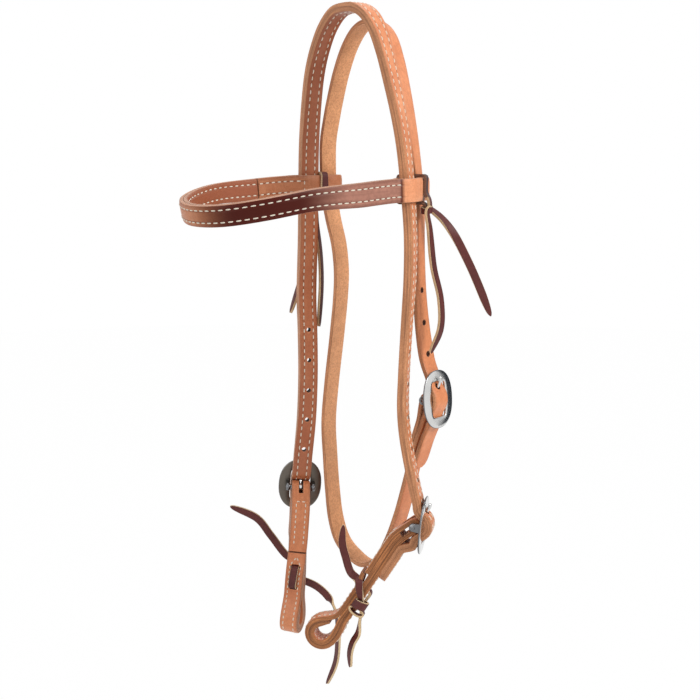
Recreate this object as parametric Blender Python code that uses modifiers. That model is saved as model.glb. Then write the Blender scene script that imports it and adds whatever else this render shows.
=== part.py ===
"""Western headstall: a doubled crown strap, a throatlatch, a browband and two bit ends.

Metres, +Z up. The horse faces -Y and its left side, the near side, is +X.
The origin is on the underside of the crown strap, where it rests on the poll.
"""
import math

import bmesh
import bpy
import numpy as np
from mathutils import Matrix, Vector

# Leather
STRAP_WIDTH = 0.0159
CROWN_PLY = 0.0036
THROAT_PLY = 0.0038
BIT_PLY = 0.0038
BROW_PLY = 0.0034
BROW_WIDTH = 0.018
SEAM_GAP = 0.0003
CLEARANCE = 0.0003
EDGE_EASE = 0.0005
HOLE_PITCH = 0.0254
HOLE_RADIUS = 0.0024

# The head that the straps go round
HEAD_HALF_WIDTH = 0.061
CHEEK_DROP = 0.394
THROAT_DROP = 0.447
THROAT_STEP = 0.0085
STRAP_PITCH = 0.0185
BROW_DROP = 0.1335
BROW_DEPTH = 0.163
BROW_DIP = 0.020
BROW_TILT = math.radians(12)
LOOP_LENGTH = 0.0335
LOOP_CLOSE = 0.014
LOOP_ROOM = 0.0024
RETURN_LENGTH = 0.074

# Buckles
PLATE_WIDTH = 0.0375
PLATE_HEIGHT = 0.047
PLATE_THICKNESS = 0.0021
WINDOW_HEIGHT = 0.029
WINDOW_CORNER = 0.003
WINDOW_ROOM_SHARE = 0.1
PLATE_EASE = 0.0006
BAR_RADIUS = 0.00175
BAR_SETBACK = 0.0065
LUG_RADIUS = 0.0034
LUG_WIDTH = 0.0034
LUG_ROOM = 0.00045
TONGUE_RADIUS = 0.0015
TONGUE_EYE_WIDTH = 0.0034
TONGUE_EYE_WALL = 0.0013
TONGUE_LAP = 0.0042
TONGUE_LIFT = math.radians(4)
TONGUE_BEND_SHARES = (0.1, 0.2)

# Bit ends
OFF_BIT_LENGTH = 0.133
NEAR_BIT_LENGTH = 0.1385
BIT_LOOP_LENGTH = 0.034
OFF_LOOP_OPENING = 0.0093
NEAR_LOOP_OPENING = 0.0125
INNER_LEAF = 0.057
LEAF_BUTT = 0.0015
LINING_START = 0.013
BILLET_REACH = 0.056
BILLET_SLACK = 0.0010
BILLET_SINK = 0.10
LEAD_SHARE = 0.64
HOLE_DEPTH_SHARE = 1.7
TIP_SHARE = 0.6
BLUNT_SHARE = 0.35
CHAPE_STRAIGHT = 0.009
CHAPE_BEND = 0.018
SLOT_REACH = 0.0065
THROAT_RETURN = 0.045
THROAT_BILLET = 0.059
RETURN_SHARES = (0.1, 0.22, 0.4, 0.6, 0.8, 1.0)
OFF_TWIST = -25
TWIST_START = 0.042
TWIST_RUN = 0.052
NEAR_SWAY = 26
SWAY_START = 0.090
SWAY_RUN = 0.036
TIP_RUN_SHARES = (0.40, 0.70, 1.0)
NEAR_RETURN_LIFT = 0.0025
WALL_STEPS = 50
CHAPE_SHARES = (0.35, 0.8)
LACE_TURN_SHARE = 0.7
LACE_THROUGH_SHARE = 0.9

# Thongs
THONG_WIDTH = 0.0065
THONG_THICKNESS = 0.0024
LACE_FIRST = 0.071
LACE_PITCH = 0.019
OFF_TIE_PLACE = 0.0138
NEAR_TIE_PLACE = 0.0141
TIE_TAIL = 0.100
BIT_TAIL = 0.100
THONG_POINT = 0.022
POINT_SHARE = 0.12
TURN_WIDTH_SHARE = 0.9
LACE_ROOM = 0.0009
GATHER = 0.32

# Facets
STATION_STEP = 0.016
STATION_WIDENING = 0.15
STATION_TURN = math.radians(14)
SIDE_WEIGHT = 3
THONG_STEP = 0.012
STRAIGHT_STEPS = 21
LOOP_STEPS = 6
SPINE_STEP = 0.0005
MERGE_DISTANCE = 0.000001
BROW_STATIONS = 47
PARTS_NAME = "western_headstall"
CUTTERS_NAME = "cutters"

CROWN_THICKNESS = 2 * CROWN_PLY + SEAM_GAP
FOLD_RADIUS = BAR_RADIUS + CLEARANCE + BIT_PLY / 2
BIT_LINING = 2 * FOLD_RADIUS - BIT_PLY - 3 * SEAM_GAP
WINDOW_WIDTH = STRAP_WIDTH * (1 + WINDOW_ROOM_SHARE)
WINDOW_TOP = WINDOW_HEIGHT / 2
PLATE_FACE = PLATE_THICKNESS / 2

# Share tables: x of HEAD_HALF_WIDTH, y of STRAP_PITCH, z of the drop named beside them, width azimuth
OFF_CHEEK_SHARES = [
    (-1.130, -0.03, 0.905, 60), (-1.072, 0.0, 0.855, 62), (-1.032, 0.0, 0.757, 66),
    (-1.038, 0.0, 0.655, 69), (-1.056, 0.0, 0.588, 71), (-1.020, 0.0, 0.460, 74),
    (-1.002, 0.0, 0.350, 76), (-0.983, 0.0, 0.262, 78), (-0.930, 0.0, 0.180, 82),
    (-0.855, 0.0, 0.115, 85), (-0.745, 0.0, 0.068, 88), (-0.575, 0.0, 0.024, 90),
    (-0.360, 0.0, -0.004, 90), (-0.150, 0.0, -0.0095, 90)]
NEAR_CHEEK_SHARES = [
    (0.050, 0.0, -0.0075, 90), (0.230, 0.0, 0.006, 91), (0.400, 0.0, 0.036, 96),
    (0.545, 0.0, 0.082, 102), (0.690, 0.0, 0.145, 107), (0.815, 0.0, 0.207, 112),
    (0.910, 0.0, 0.270, 116), (0.985, 0.0, 0.350, 118), (1.040, 0.0, 0.435, 121),
    (1.035, 0.0, 0.520, 123), (0.985, 0.0, 0.610, 126), (0.935, 0.0, 0.714, 127),
    (0.922, 0.0, 0.785, 126), (0.950, 0.06, 0.842, 126), (0.990, 0.16, 0.890, 126)]
THROAT_LOOP_SHARES = [
    (0.700, 1.390, 0.790, 98), (0.617, 1.314, 0.835, 97), (0.526, 1.190, 0.885, 95),
    (0.393, 1.027, 0.938, 93), (0.184, 0.908, 0.984, 91), (-0.070, 0.830, 1.000, 90),
    (-0.350, 0.83, 0.990, 90), (-0.600, 0.87, 0.970, 92), (-0.760, 0.92, 0.933, 95),
    (-0.850, 0.95, 0.875, 98), (-0.905, 0.97, 0.810, 99), (-0.935, 0.97, 0.745, 99),
    (-0.870, 0.97, 0.668, 99), (-0.746, 0.97, 0.567, 99), (-0.660, 0.95, 0.490, 99),
    (-0.640, 0.93, 0.445, 98), (-0.690, 0.93, 0.398, 97), (-0.830, 0.97, 0.348, 95),
    (-0.955, 1.07, 0.299, 93), (-0.975, 1.07, 0.250, 92), (-0.955, 1.04, 0.205, 91),
    (-0.905, 1.08, 0.168, 90), (-0.815, 1.10, 0.124, 90), (-0.690, 1.10, 0.078, 90),
    (-0.510, 1.10, 0.033, 90), (-0.310, 1.10, 0.005, 90), (-0.110, 1.09, -0.005, 90),
    (0.090, 1.07, 0.002, 91), (0.270, 1.04, 0.022, 93), (0.430, 1.00, 0.060, 98),
    (0.580, 0.96, 0.113, 104), (0.730, 0.93, 0.180, 111), (0.835, 0.95, 0.250, 116),
    (0.865, 1.06, 0.310, 118), (0.880, 1.02, 0.400, 113), (0.895, 1.05, 0.480, 106),
    (0.905, 1.24, 0.548, 100)]
# Browband plan, x of HEAD_HALF_WIDTH and y of BROW_DEPTH
BROW_PLAN_SHARES = [
    (-0.962, 0.142), (-0.977, 0.100), (-1.005, 0.0), (-1.025, -0.056), (-1.060, -0.215),
    (-1.065, -0.430), (-0.985, -0.620), (-0.800, -0.785), (-0.480, -0.912), (0.0, -0.985),
    (0.520, -0.960), (0.880, -0.835), (1.060, -0.645), (1.135, -0.430), (1.120, -0.215),
    (1.058, -0.056), (0.990, 0.0), (0.860, 0.089), (0.795, 0.134)]

GATHER_SHARES = (0.75, 0.25, -0.25, -0.75)
# Where a tail leaves its ring, shares of the ring's lift outward and up
HITCH_SHARES = ((1.0, -1.6), (1.0, -0.5), (0.75, 0.6), (0.0, 2.2))

# Thong tails, shares of a tail's length: outward, up, along the leather, and how far it turns
OFF_TIE_LONG_SHARES = [(0.125, -0.17, -0.04, 0.1), (0.090, -0.32, -0.045, 0.1),
                       (0.040, -0.52, -0.05, 0.1), (0.0, -0.80, -0.04, 0.1),
                       (0.01, -1.20, -0.02, 0.1)]
OFF_TIE_SHORT_SHARES = [(0.115, -0.17, 0.05, 0.1), (0.13, -0.35, 0.09, 0.1),
                        (0.14, -0.65, 0.13, 0.1), (0.13, -1.05, 0.19, 0.1)]
NEAR_TIE_LONG_SHARES = [(0.135, -0.17, -0.05, 0.2), (0.155, -0.30, -0.05, 0.4),
                        (0.185, -0.60, -0.03, 0.5), (0.235, -0.85, 0.0, 0.5),
                        (0.235, -1.08, 0.01, 0.4), (0.155, -1.28, 0.01, 0.4)]
NEAR_TIE_SHORT_SHARES = [(0.130, -0.15, 0.05, 0.2), (0.215, -0.22, 0.07, 0.4),
                         (0.300, -0.34, 0.12, 0.5), (0.400, -0.56, 0.20, 0.5),
                         (0.470, -0.75, 0.27, 0.5), (0.560, -1.01, 0.34, 0.5)]
OFF_LACE_UPPER_SHARES = [(0.035, 0.0, 0.03, 0.3), (0.05, 0.03, 0.10, 1.0),
                         (0.09, 0.20, 0.25, 1.0), (0.11, 0.35, 0.38, 1.0),
                         (0.15, 0.44, 0.62, 1.0)]
OFF_LACE_LOWER_SHARES = [(0.035, 0.0, -0.02, 0.3), (0.07, -0.06, -0.15, 0.8),
                         (0.08, -0.14, -0.25, 0.8), (0.08, -0.23, -0.32, 0.6),
                         (0.08, -0.37, -0.385, 0.4), (0.08, -0.66, -0.415, 0.3),
                         (0.08, -0.85, -0.41, 0.3), (0.08, -1.07, -0.35, 0.3)]
NEAR_LACE_UPPER_SHARES = [(-0.015, 0.0, 0.0, 0.3), (-0.05, 0.07, 0.0, 0.6),
                          (-0.10, 0.185, 0.0, 0.6), (-0.14, 0.30, 0.0, 0.6),
                          (-0.145, 0.455, 0.0, 0.6)]
NEAR_LACE_LOWER_SHARES = [(0.01, -0.03, 0.0, 0.2), (0.005, -0.10, 0.0, 0.4),
                          (0.0, -0.22, 0.0, 0.5), (-0.035, -0.305, 0.0, 0.5),
                          (-0.05, -0.40, 0.0, 0.5), (-0.035, -0.52, 0.0, 0.5)]


def clear_scene():
    for thing in list(bpy.data.objects):
        bpy.data.objects.remove(thing, do_unlink=True)


def make_collection(name):
    group = bpy.data.collections.get(name) or bpy.data.collections.new(name)
    if name not in bpy.context.scene.collection.children:
        bpy.context.scene.collection.children.link(group)
    return group


def make_material(name, colour, roughness, metallic=0.0):
    material = bpy.data.materials.new(name)
    material.use_nodes = True
    shader = material.node_tree.nodes["Principled BSDF"]
    shader.inputs["Base Color"].default_value = (*colour, 1)
    shader.inputs["Roughness"].default_value = roughness
    shader.inputs["Metallic"].default_value = metallic
    return material


def add_part(name, mesh, material):
    part = bpy.data.objects.new(name, mesh)
    mesh.materials.clear()
    mesh.materials.append(material)
    make_collection(PARTS_NAME).objects.link(part)
    return part


def add_cutter(name, mesh):
    cutter = bpy.data.objects.new(name, mesh)
    make_collection(CUTTERS_NAME).objects.link(cutter)
    cutter.hide_render = True
    cutter.display_type = "WIRE"
    return cutter


def cut(part, cutter):
    modifier = part.modifiers.new(cutter.name, "BOOLEAN")
    modifier.operation = "DIFFERENCE"
    modifier.solver = "EXACT"
    modifier.object = cutter


def bevel(part, width, segments=1, angle=math.radians(50)):
    modifier = part.modifiers.new("eased_edges", "BEVEL")
    modifier.width = width
    modifier.segments = segments
    modifier.limit_method = "ANGLE"
    modifier.angle_limit = angle


def smooth(share):
    """Rises from 0 to 1 with level ends."""
    share = min(max(share, 0.0), 1.0)
    return share * share * (3 - 2 * share)


def spline(points, samples=14):
    """Catmull-Rom curve through rows of numbers; the first three of a row are its place."""
    rows = np.array(points, dtype=float)
    rows = np.vstack([2 * rows[0] - rows[1], rows, 2 * rows[-1] - rows[-2]])
    steps = np.linalg.norm(np.diff(rows[:, :3], axis=0), axis=1) ** 0.5
    knots = np.concatenate([[0], np.cumsum(steps)])
    curve = []
    for i in range(1, len(rows) - 2):
        t0, t1, t2, t3 = knots[i - 1:i + 3]
        for t in np.linspace(t1, t2, samples, endpoint=False):
            a1 = (t1 - t) / (t1 - t0) * rows[i - 1] + (t - t0) / (t1 - t0) * rows[i]
            a2 = (t2 - t) / (t2 - t1) * rows[i] + (t - t1) / (t2 - t1) * rows[i + 1]
            a3 = (t3 - t) / (t3 - t2) * rows[i + 1] + (t - t2) / (t3 - t2) * rows[i + 2]
            b1 = (t2 - t) / (t2 - t0) * a1 + (t - t0) / (t2 - t0) * a2
            b2 = (t3 - t) / (t3 - t1) * a2 + (t - t1) / (t3 - t1) * a3
            curve.append((t2 - t) / (t2 - t1) * b1 + (t - t1) / (t2 - t1) * b2)
    curve.append(rows[-2])
    return np.array(curve)


def turned(first, second):
    return Vector(first).angle(Vector(second), 0.0)


def pick_stations(curve, step=STATION_STEP, turn=STATION_TURN):
    """Keeps a row wherever the run has gone one step or turned by one angle."""
    kept = [curve[0]]
    heading = curve[1][:3] - curve[0][:3]
    side = curve[0][3:6]
    for i in range(1, len(curve) - 1):
        run = np.linalg.norm(curve[i][:3] - kept[-1][:3])
        ahead = curve[i + 1][:3] - curve[i][:3]
        widening = abs(curve[i][6] - kept[-1][6]) > STATION_WIDENING
        bent = turned(ahead, heading) + SIDE_WEIGHT * turned(side, curve[i][3:6])
        if run > step or widening or bent > turn:
            kept.append(curve[i])
            heading = ahead
            side = curve[i][3:6]
    if np.linalg.norm(curve[-1][:3] - kept[-1][:3]) < step / 8 and len(kept) > 2:
        kept.pop()
    kept.append(curve[-1])
    return np.array(kept)


def frames(rows):
    """Place, tangent, width and outward normal of each row of a run."""
    places = rows[:, :3]
    result = []
    for i, place in enumerate(places):
        ahead = places[min(i + 1, len(places) - 1)]
        behind = places[max(i - 1, 0)]
        tangent = Vector(ahead - behind).normalized()
        width = Vector(rows[i][3:6])
        width = (width - tangent * width.dot(tangent)).normalized()
        result.append((Vector(place), tangent, width, tangent.cross(width)))
    return result


def along(curve):
    """Distance of each row from the run's start."""
    steps = np.linalg.norm(np.diff(curve[:, :3], axis=0), axis=1)
    return np.concatenate([[0], np.cumsum(steps)])


def frame_at(curve, distance):
    runs = along(curve)
    index = int(np.argmin(np.abs(runs - distance)))
    return frames(curve[max(index - 1, 0):index + 2])[1 if index else 0]


def strap(name, rows, width, thickness, lift, side, material, ease=EDGE_EASE):
    """A ribbon through the rows: a grid moved to its stations, thickened to one side of the run.

    A row is place, width direction and width share. lift is the gap between run and leather.
    """
    mesh = bpy.data.meshes.new(name)
    grid = bmesh.new()
    bmesh.ops.create_grid(grid, x_segments=1, y_segments=len(rows) - 1, size=0.5)
    points = sorted(grid.verts, key=lambda v: (round(v.co.y, 6), v.co.x))
    for i, (place, _, across, outward) in enumerate(frames(rows)):
        half = width * rows[i][6] / 2
        points[2 * i].co = place + outward * lift * side + across * half
        points[2 * i + 1].co = place + outward * lift * side - across * half
    grid.to_mesh(mesh)
    grid.free()
    part = add_part(name, mesh, material)
    shell = part.modifiers.new("ply", "SOLIDIFY")
    shell.thickness = thickness
    shell.offset = side
    shell.use_even_offset = True
    if ease:
        bevel(part, ease)
    facets = part.modifiers.new("facets", "TRIANGULATE")
    facets.quad_method = "SHORTEST_DIAGONAL"
    return part


def azimuth_row(place, azimuth):
    angle = math.radians(azimuth)
    return (*place, math.cos(angle), math.sin(angle), 0.0, 1.0)


def share_rows(shares, drop, lift=0.0):
    rows = []
    for x, y, z, azimuth in shares:
        place = (x * HEAD_HALF_WIDTH, y * STRAP_PITCH, lift - z * drop)
        rows.append(azimuth_row(place, azimuth))
    return rows


def tip_rows(rows, length, blunt_share=BLUNT_SHARE):
    """Rounds off the width over the last stretch of a curve."""
    runs = along(rows)
    left = runs[-1] - runs
    for i, distance in enumerate(left):
        if distance < length:
            rise = math.sqrt(1 - (1 - distance / length) ** 2)
            rows[i][6] *= blunt_share + (1 - blunt_share) * rise
    return rows


def tube_mesh(name, points, radius, sides=12):
    """A round bar through points, with caps."""
    curve = bpy.data.curves.new(name, "CURVE")
    curve.dimensions = "3D"
    curve.bevel_depth = radius
    curve.bevel_resolution = sides // 4 - 1
    curve.use_fill_caps = True
    path = curve.splines.new("POLY")
    path.points.add(len(points) - 1)
    for spot, point in zip(path.points, points):
        spot.co = (*point, 1)
    return mesh_from_curve(name, curve)


def mesh_from_curve(name, curve):
    holder = bpy.data.objects.new(name, curve)
    bpy.context.scene.collection.objects.link(holder)
    bpy.context.view_layer.update()
    evaluated = holder.evaluated_get(bpy.context.evaluated_depsgraph_get())
    mesh = bpy.data.meshes.new_from_object(evaluated)
    bpy.data.objects.remove(holder, do_unlink=True)
    work = bmesh.new()
    work.from_mesh(mesh)
    bmesh.ops.remove_doubles(work, verts=work.verts, dist=MERGE_DISTANCE)
    bmesh.ops.recalc_face_normals(work, faces=work.faces)
    work.to_mesh(mesh)
    work.free()
    mesh.name = name
    return mesh


def plate_mesh(name, outlines, half_depth):
    """A flat outline, with any holes as further outlines, given its thickness."""
    curve = bpy.data.curves.new(name, "CURVE")
    curve.dimensions = "2D"
    curve.fill_mode = "BOTH"
    curve.extrude = half_depth
    for outline in outlines:
        path = curve.splines.new("POLY")
        path.points.add(len(outline) - 1)
        path.use_cyclic_u = True
        for spot, (x, y) in zip(path.points, outline):
            spot.co = (x, y, 0, 1)
    return mesh_from_curve(name, curve)


def cylinder_mesh(name, radius, depth, sides=12):
    mesh = bpy.data.meshes.new(name)
    work = bmesh.new()
    bmesh.ops.create_cone(work, cap_ends=True, segments=sides, radius1=radius, radius2=radius,
                          depth=depth)
    work.to_mesh(mesh)
    work.free()
    return mesh


def oval(width, height, count, power=2.3):
    """An oval a little fuller than an ellipse."""
    points = []
    for i in range(count):
        angle = 2 * math.pi * i / count
        cosine, sine = math.cos(angle), math.sin(angle)
        points.append((math.copysign(abs(cosine) ** (2 / power), cosine) * width / 2,
                       math.copysign(abs(sine) ** (2 / power), sine) * height / 2))
    return points


def rounded_box(width, height, corner, count=3):
    points = []
    for quarter, (x, y) in enumerate(((1, 1), (-1, 1), (-1, -1), (1, -1))):
        for i in range(count + 1):
            angle = math.pi / 2 * (quarter + i / count)
            points.append((x * (width / 2 - corner) + corner * math.cos(angle),
                           y * (height / 2 - corner) + corner * math.sin(angle)))
    return points


class Station:
    """The frame of one buckle: its plate's centre, outward normal, up and width directions."""

    def __init__(self, name, centre, azimuth, lean, roll, lead, chape, hang, billet, twist=0,
                 sway=0):
        self.name = name
        self.twist = math.radians(twist)
        self.sway = math.radians(sway)
        flat = Vector((math.cos(math.radians(azimuth)), math.sin(math.radians(azimuth)), 0))
        tilt = math.radians(lean)
        self.centre = Vector(centre)
        self.up = Vector((0, 0, 1)) * math.cos(tilt) + flat * math.sin(tilt)
        self.out = flat * math.cos(tilt) - Vector((0, 0, 1)) * math.sin(tilt)
        turn = Matrix.Rotation(math.radians(roll), 3, self.out)
        self.up = turn @ self.up
        self.across = self.up.cross(self.out)
        self.lead = lead * BAR_SETBACK
        self.chape = math.radians(chape)
        self.hang = math.radians(hang)
        self.billet = billet

    def place(self, out, up, across=0.0):
        return self.centre + self.out * out + self.up * up + self.across * across

    def matrix(self):
        """Local x across, y up, z out."""
        axes = Matrix((self.across, self.up, self.out)).transposed()
        return Matrix.Translation(self.centre) @ axes.to_4x4()

    def side_matrix(self):
        """Local x out, y up, z across."""
        axes = Matrix((self.out, self.up, -self.across)).transposed()
        return Matrix.Translation(self.centre) @ axes.to_4x4()

    def bend(self, run):
        """Angle of the folded strap from the plate's down direction, at a run below the bar."""
        blend = smooth((run - CHAPE_STRAIGHT) / CHAPE_BEND)
        sway = self.sway * smooth((run - SWAY_START) / SWAY_RUN)
        return self.chape + (self.hang - self.chape) * blend + sway

    def spine(self, run, offset=0.0):
        """Point (out, up) at a run below the bar along the folded strap's middle line."""
        out, up = -BAR_SETBACK, 0.0
        steps = max(int(run / SPINE_STEP), 1)
        for i in range(steps):
            angle = self.bend(run * (i + 0.5) / steps)
            out -= math.sin(angle) * run / steps
            up -= math.cos(angle) * run / steps
        angle = self.bend(run)
        return out + offset * math.cos(angle), up - offset * math.sin(angle)

    def axes(self, run):
        """Outward, up and width directions of the twisted fold at a run below the bar."""
        angle = self.bend(run)
        square = self.out * math.cos(angle) - self.up * math.sin(angle)
        turn = self.twist * smooth((run - TWIST_START) / TWIST_RUN)
        outward = square * math.cos(turn) + self.across * math.sin(turn)
        across = self.across * math.cos(turn) - square * math.sin(turn)
        return outward, outward.cross(across), across

    def turned_row(self, run, offset, ways=1):
        """A row at a run below the bar, offset square to the middle line."""
        middle = self.place(*self.spine(run))
        outward, _, across = self.axes(run)
        return (*(middle + outward * offset), *(across * ways), 1.0)

    def crest(self):
        """How far the billet's middle stands out where it passes over the bar."""
        return (-BAR_SETBACK + FOLD_RADIUS + BIT_PLY / 2 + CLEARANCE + self.billet / 2
                + BILLET_SLACK)

    def trough(self):
        """Where the billet's middle runs behind the plate."""
        return -PLATE_FACE - CLEARANCE - self.billet / 2 - BILLET_SINK * self.billet

    def wave(self, count=4):
        """The billet's S from its crest over the bar to its trough behind the plate's end."""
        rise = self.crest() - self.trough()
        length = WINDOW_TOP + PLATE_THICKNESS
        turn = 2 * math.atan(rise / length)
        radius = length / 2 / math.sin(turn)
        points = []
        for i in range(count):
            angle = turn * i / count
            points.append((self.crest() - radius * (1 - math.cos(angle)),
                           radius * math.sin(angle)))
        for i in range(count, -1, -1):
            angle = turn * i / count
            points.append((self.trough() + radius * (1 - math.cos(angle)),
                           length - radius * math.sin(angle)))
        return points


def material_set():
    return {
        "strap": make_material("strap_leather", (0.36, 0.13, 0.045), 0.45),
        "lining": make_material("lining_leather", (0.42, 0.19, 0.08), 0.6),
        "thong": make_material("latigo_thong", (0.12, 0.02, 0.015), 0.5),
        "steel": make_material("polished_steel", (0.8, 0.8, 0.8), 0.12, 1.0)}


def stations():
    crown = CROWN_THICKNESS
    off = Station("off", (-1.254 * HEAD_HALF_WIDTH, 0.07 * STRAP_PITCH, -1.001 * CHEEK_DROP),
                  145, -8.5, 4, -1.0, 48, 6, crown, OFF_TWIST)
    near = Station("near", (1.157 * HEAD_HALF_WIDTH, 0.535 * STRAP_PITCH, -1.015 * CHEEK_DROP),
                   36, 5.5, 0, -1.6, 48, 26.5, crown, 0, NEAR_SWAY)
    throat = Station("throat", (1.082 * HEAD_HALF_WIDTH, 1.568 * STRAP_PITCH, -0.672 * THROAT_DROP),
                     8, -4, 0, -1.3, 27, 24, THROAT_PLY)
    return off, near, throat


def billet_rows(station, tip_run, tip_offset, ways=1):
    """Rows of the strap through a buckle, from above the plate to the strap's tip below it.

    The width direction is the buckle's own, turned round for the off side by ways.
    """
    wave = station.wave()
    local = [(station.lead, LEAD_SHARE * PLATE_HEIGHT)]
    local += list(reversed(wave))
    local += [(out, -up) for out, up in wave[1:]]
    trough_run = WINDOW_TOP + PLATE_THICKNESS
    side = station.across * ways
    rows = [(*station.place(*spot), *side, 1.0) for spot in local]
    for share in TIP_RUN_SHARES:
        run = trough_run + (tip_run - trough_run) * share
        rows.append(station.turned_row(run, tip_offset, ways))
    return rows


def crown_curve(off, near):
    """The run of the crown strap's middle, from the off billet's tip to the near one."""
    offset = FOLD_RADIUS + BIT_PLY / 2 + 2 * CLEARANCE + CROWN_THICKNESS / 2
    lift = CROWN_THICKNESS / 2
    rows = list(reversed(billet_rows(off, BILLET_REACH, offset, -1)))
    rows += share_rows(OFF_CHEEK_SHARES[1:], CHEEK_DROP, lift)
    rows += share_rows(NEAR_CHEEK_SHARES[:-1], CHEEK_DROP, lift)
    rows += billet_rows(near, BILLET_REACH, offset)
    return taper(spline(rows), STRAP_WIDTH * TIP_SHARE)


def taper(curve, length):
    """Rounds off both ends of a strap's run."""
    curve = tip_rows(curve, length)
    return tip_rows(curve[::-1], length)[::-1]


def crossing(station, curve):
    """Distance along a run at which the tongue's middle line passes through it."""
    root, aim = tongue_line(station)
    best = None
    for i, row in enumerate(curve):
        place = Vector(row[:3]) - station.centre
        out, up = place.dot(station.out), place.dot(station.up)
        if abs(place.dot(station.across)) > STRAP_WIDTH or not FOLD_RADIUS < up < WINDOW_TOP:
            continue
        miss = abs((out - root[0]) * (aim[1] - root[1]) - (up - root[1]) * (aim[0] - root[0]))
        if best is None or miss < best[0]:
            best = (miss, i)
    return along(curve)[best[1]]


def tongue_line(station):
    """The tongue's root on the bar and the point where it reaches the plate, as (out, up)."""
    return (-BAR_SETBACK, 0.0), (PLATE_FACE + 2 * CLEARANCE + TONGUE_RADIUS, WINDOW_TOP)


def punch(name, curve, distances, aims, depth, radius):
    """A cutter for round holes through a strap; aims turn a hole from square to the strap."""
    work = bmesh.new()
    for distance, aim in zip(distances, aims):
        place, tangent, width, outward = frame_at(curve, distance)
        axis = aim if aim is not None else outward
        turn = axis.to_track_quat("Z", "Y").to_matrix().to_4x4()
        bmesh.ops.create_cone(work, cap_ends=True, segments=10, radius1=radius, radius2=radius,
                              depth=depth, matrix=Matrix.Translation(place) @ turn)
    mesh = bpy.data.meshes.new(name)
    work.to_mesh(mesh)
    work.free()
    return add_cutter(name, mesh)


def hole_places(curve, station, outward_step, above, below):
    """Places of a billet's holes: the tongue's own, then a pitch apart up and down the strap."""
    start = crossing(station, curve)
    root, aim = tongue_line(station)
    middle = math.atan2(aim[0] - root[0], aim[1] - root[1]) + TONGUE_LIFT / 2
    direction = station.out * math.sin(middle) + station.up * math.cos(middle)
    counts = list(range(-below, above + 1))
    distances = [start + outward_step * HOLE_PITCH * i for i in counts]
    aims = [direction if i == 0 else None for i in counts]
    return distances, aims


def make_crown(looks, off, near):
    curve = crown_curve(off, near)
    rows = pick_stations(curve)
    cutters = []
    depth = CROWN_THICKNESS * HOLE_DEPTH_SHARE
    for station, step in ((off, 1), (near, -1)):
        distances, aims = hole_places(curve, station, step, 5, 0)
        cutters.append(punch("crown_holes_" + station.name, curve, distances, aims, depth,
                             HOLE_RADIUS))
    outer = strap("crown_outer_ply", rows, STRAP_WIDTH, CROWN_PLY, SEAM_GAP / 2, 1,
                  looks["strap"])
    lining = strap("crown_lining_ply", rows, STRAP_WIDTH, CROWN_PLY, SEAM_GAP / 2, -1,
                   looks["lining"])
    for ply in (outer, lining):
        for cutter in cutters:
            cut(ply, cutter)


def throat_chape_rows(station):
    """The throatlatch's folded end: up the return leaf, round the bar and down the outer leaf."""
    local = []
    radius = BAR_RADIUS + CLEARANCE + THROAT_PLY / 2
    closed = radius - THROAT_PLY - SEAM_GAP
    for share in reversed(RETURN_SHARES):
        run = THROAT_RETURN * share
        offset = -radius + (radius + closed) * smooth(run / (THROAT_RETURN / 2))
        local.append(station.spine(run, offset))
    for i in range(7):
        angle = math.pi * i / 6 + station.chape
        local.append((-BAR_SETBACK - radius * math.cos(angle), radius * math.sin(angle)))
    for share in RETURN_SHARES:
        local.append(station.spine(THROAT_RETURN * share, radius))
    return [(*station.place(*spot), *station.across, 1.0) for spot in local]


def make_throatlatch(looks, throat):
    offset = FOLD_RADIUS + THROAT_PLY + BILLET_SLACK + CLEARANCE
    rows = throat_chape_rows(throat)
    rows += share_rows(THROAT_LOOP_SHARES, THROAT_DROP, -THROAT_STEP + CROWN_THICKNESS / 2)
    rows += billet_rows(throat, THROAT_BILLET, offset)
    curve = spline(rows)
    curve = tip_rows(curve, STRAP_WIDTH * TIP_SHARE)
    distances, aims = hole_places(curve, throat, -1, 3, 0)
    cutter = punch("throat_holes", curve, distances, aims, THROAT_PLY * HOLE_DEPTH_SHARE,
                   HOLE_RADIUS)
    part = strap("throatlatch_strap", pick_stations(curve), STRAP_WIDTH, THROAT_PLY, 0.0, 0,
                 looks["strap"])
    cut(part, cutter)
    cut(part, slot_cutter(throat, "throat_slot"))


def slot_cutter(station, name):
    """The slot in a fold for the tongue: a round-ended block across the fold's crown."""
    half = TONGUE_EYE_WIDTH / 2 + CLEARANCE
    mesh = bpy.data.meshes.new(name)
    work = bmesh.new()
    bmesh.ops.create_cube(work, size=1.0)
    reach = FOLD_RADIUS + BIT_PLY
    bmesh.ops.scale(work, verts=work.verts, vec=(2 * half, reach + SLOT_REACH, 2 * reach))
    bmesh.ops.translate(work, verts=work.verts, vec=(0, (reach - SLOT_REACH) / 2, 0))
    work.to_mesh(mesh)
    work.free()
    cutter = add_cutter(name, mesh)
    turn = Matrix.Rotation(-station.chape, 4, "X")
    cutter.matrix_world = (station.matrix() @ Matrix.Translation((0, 0, -BAR_SETBACK)) @ turn)
    return cutter


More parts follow.
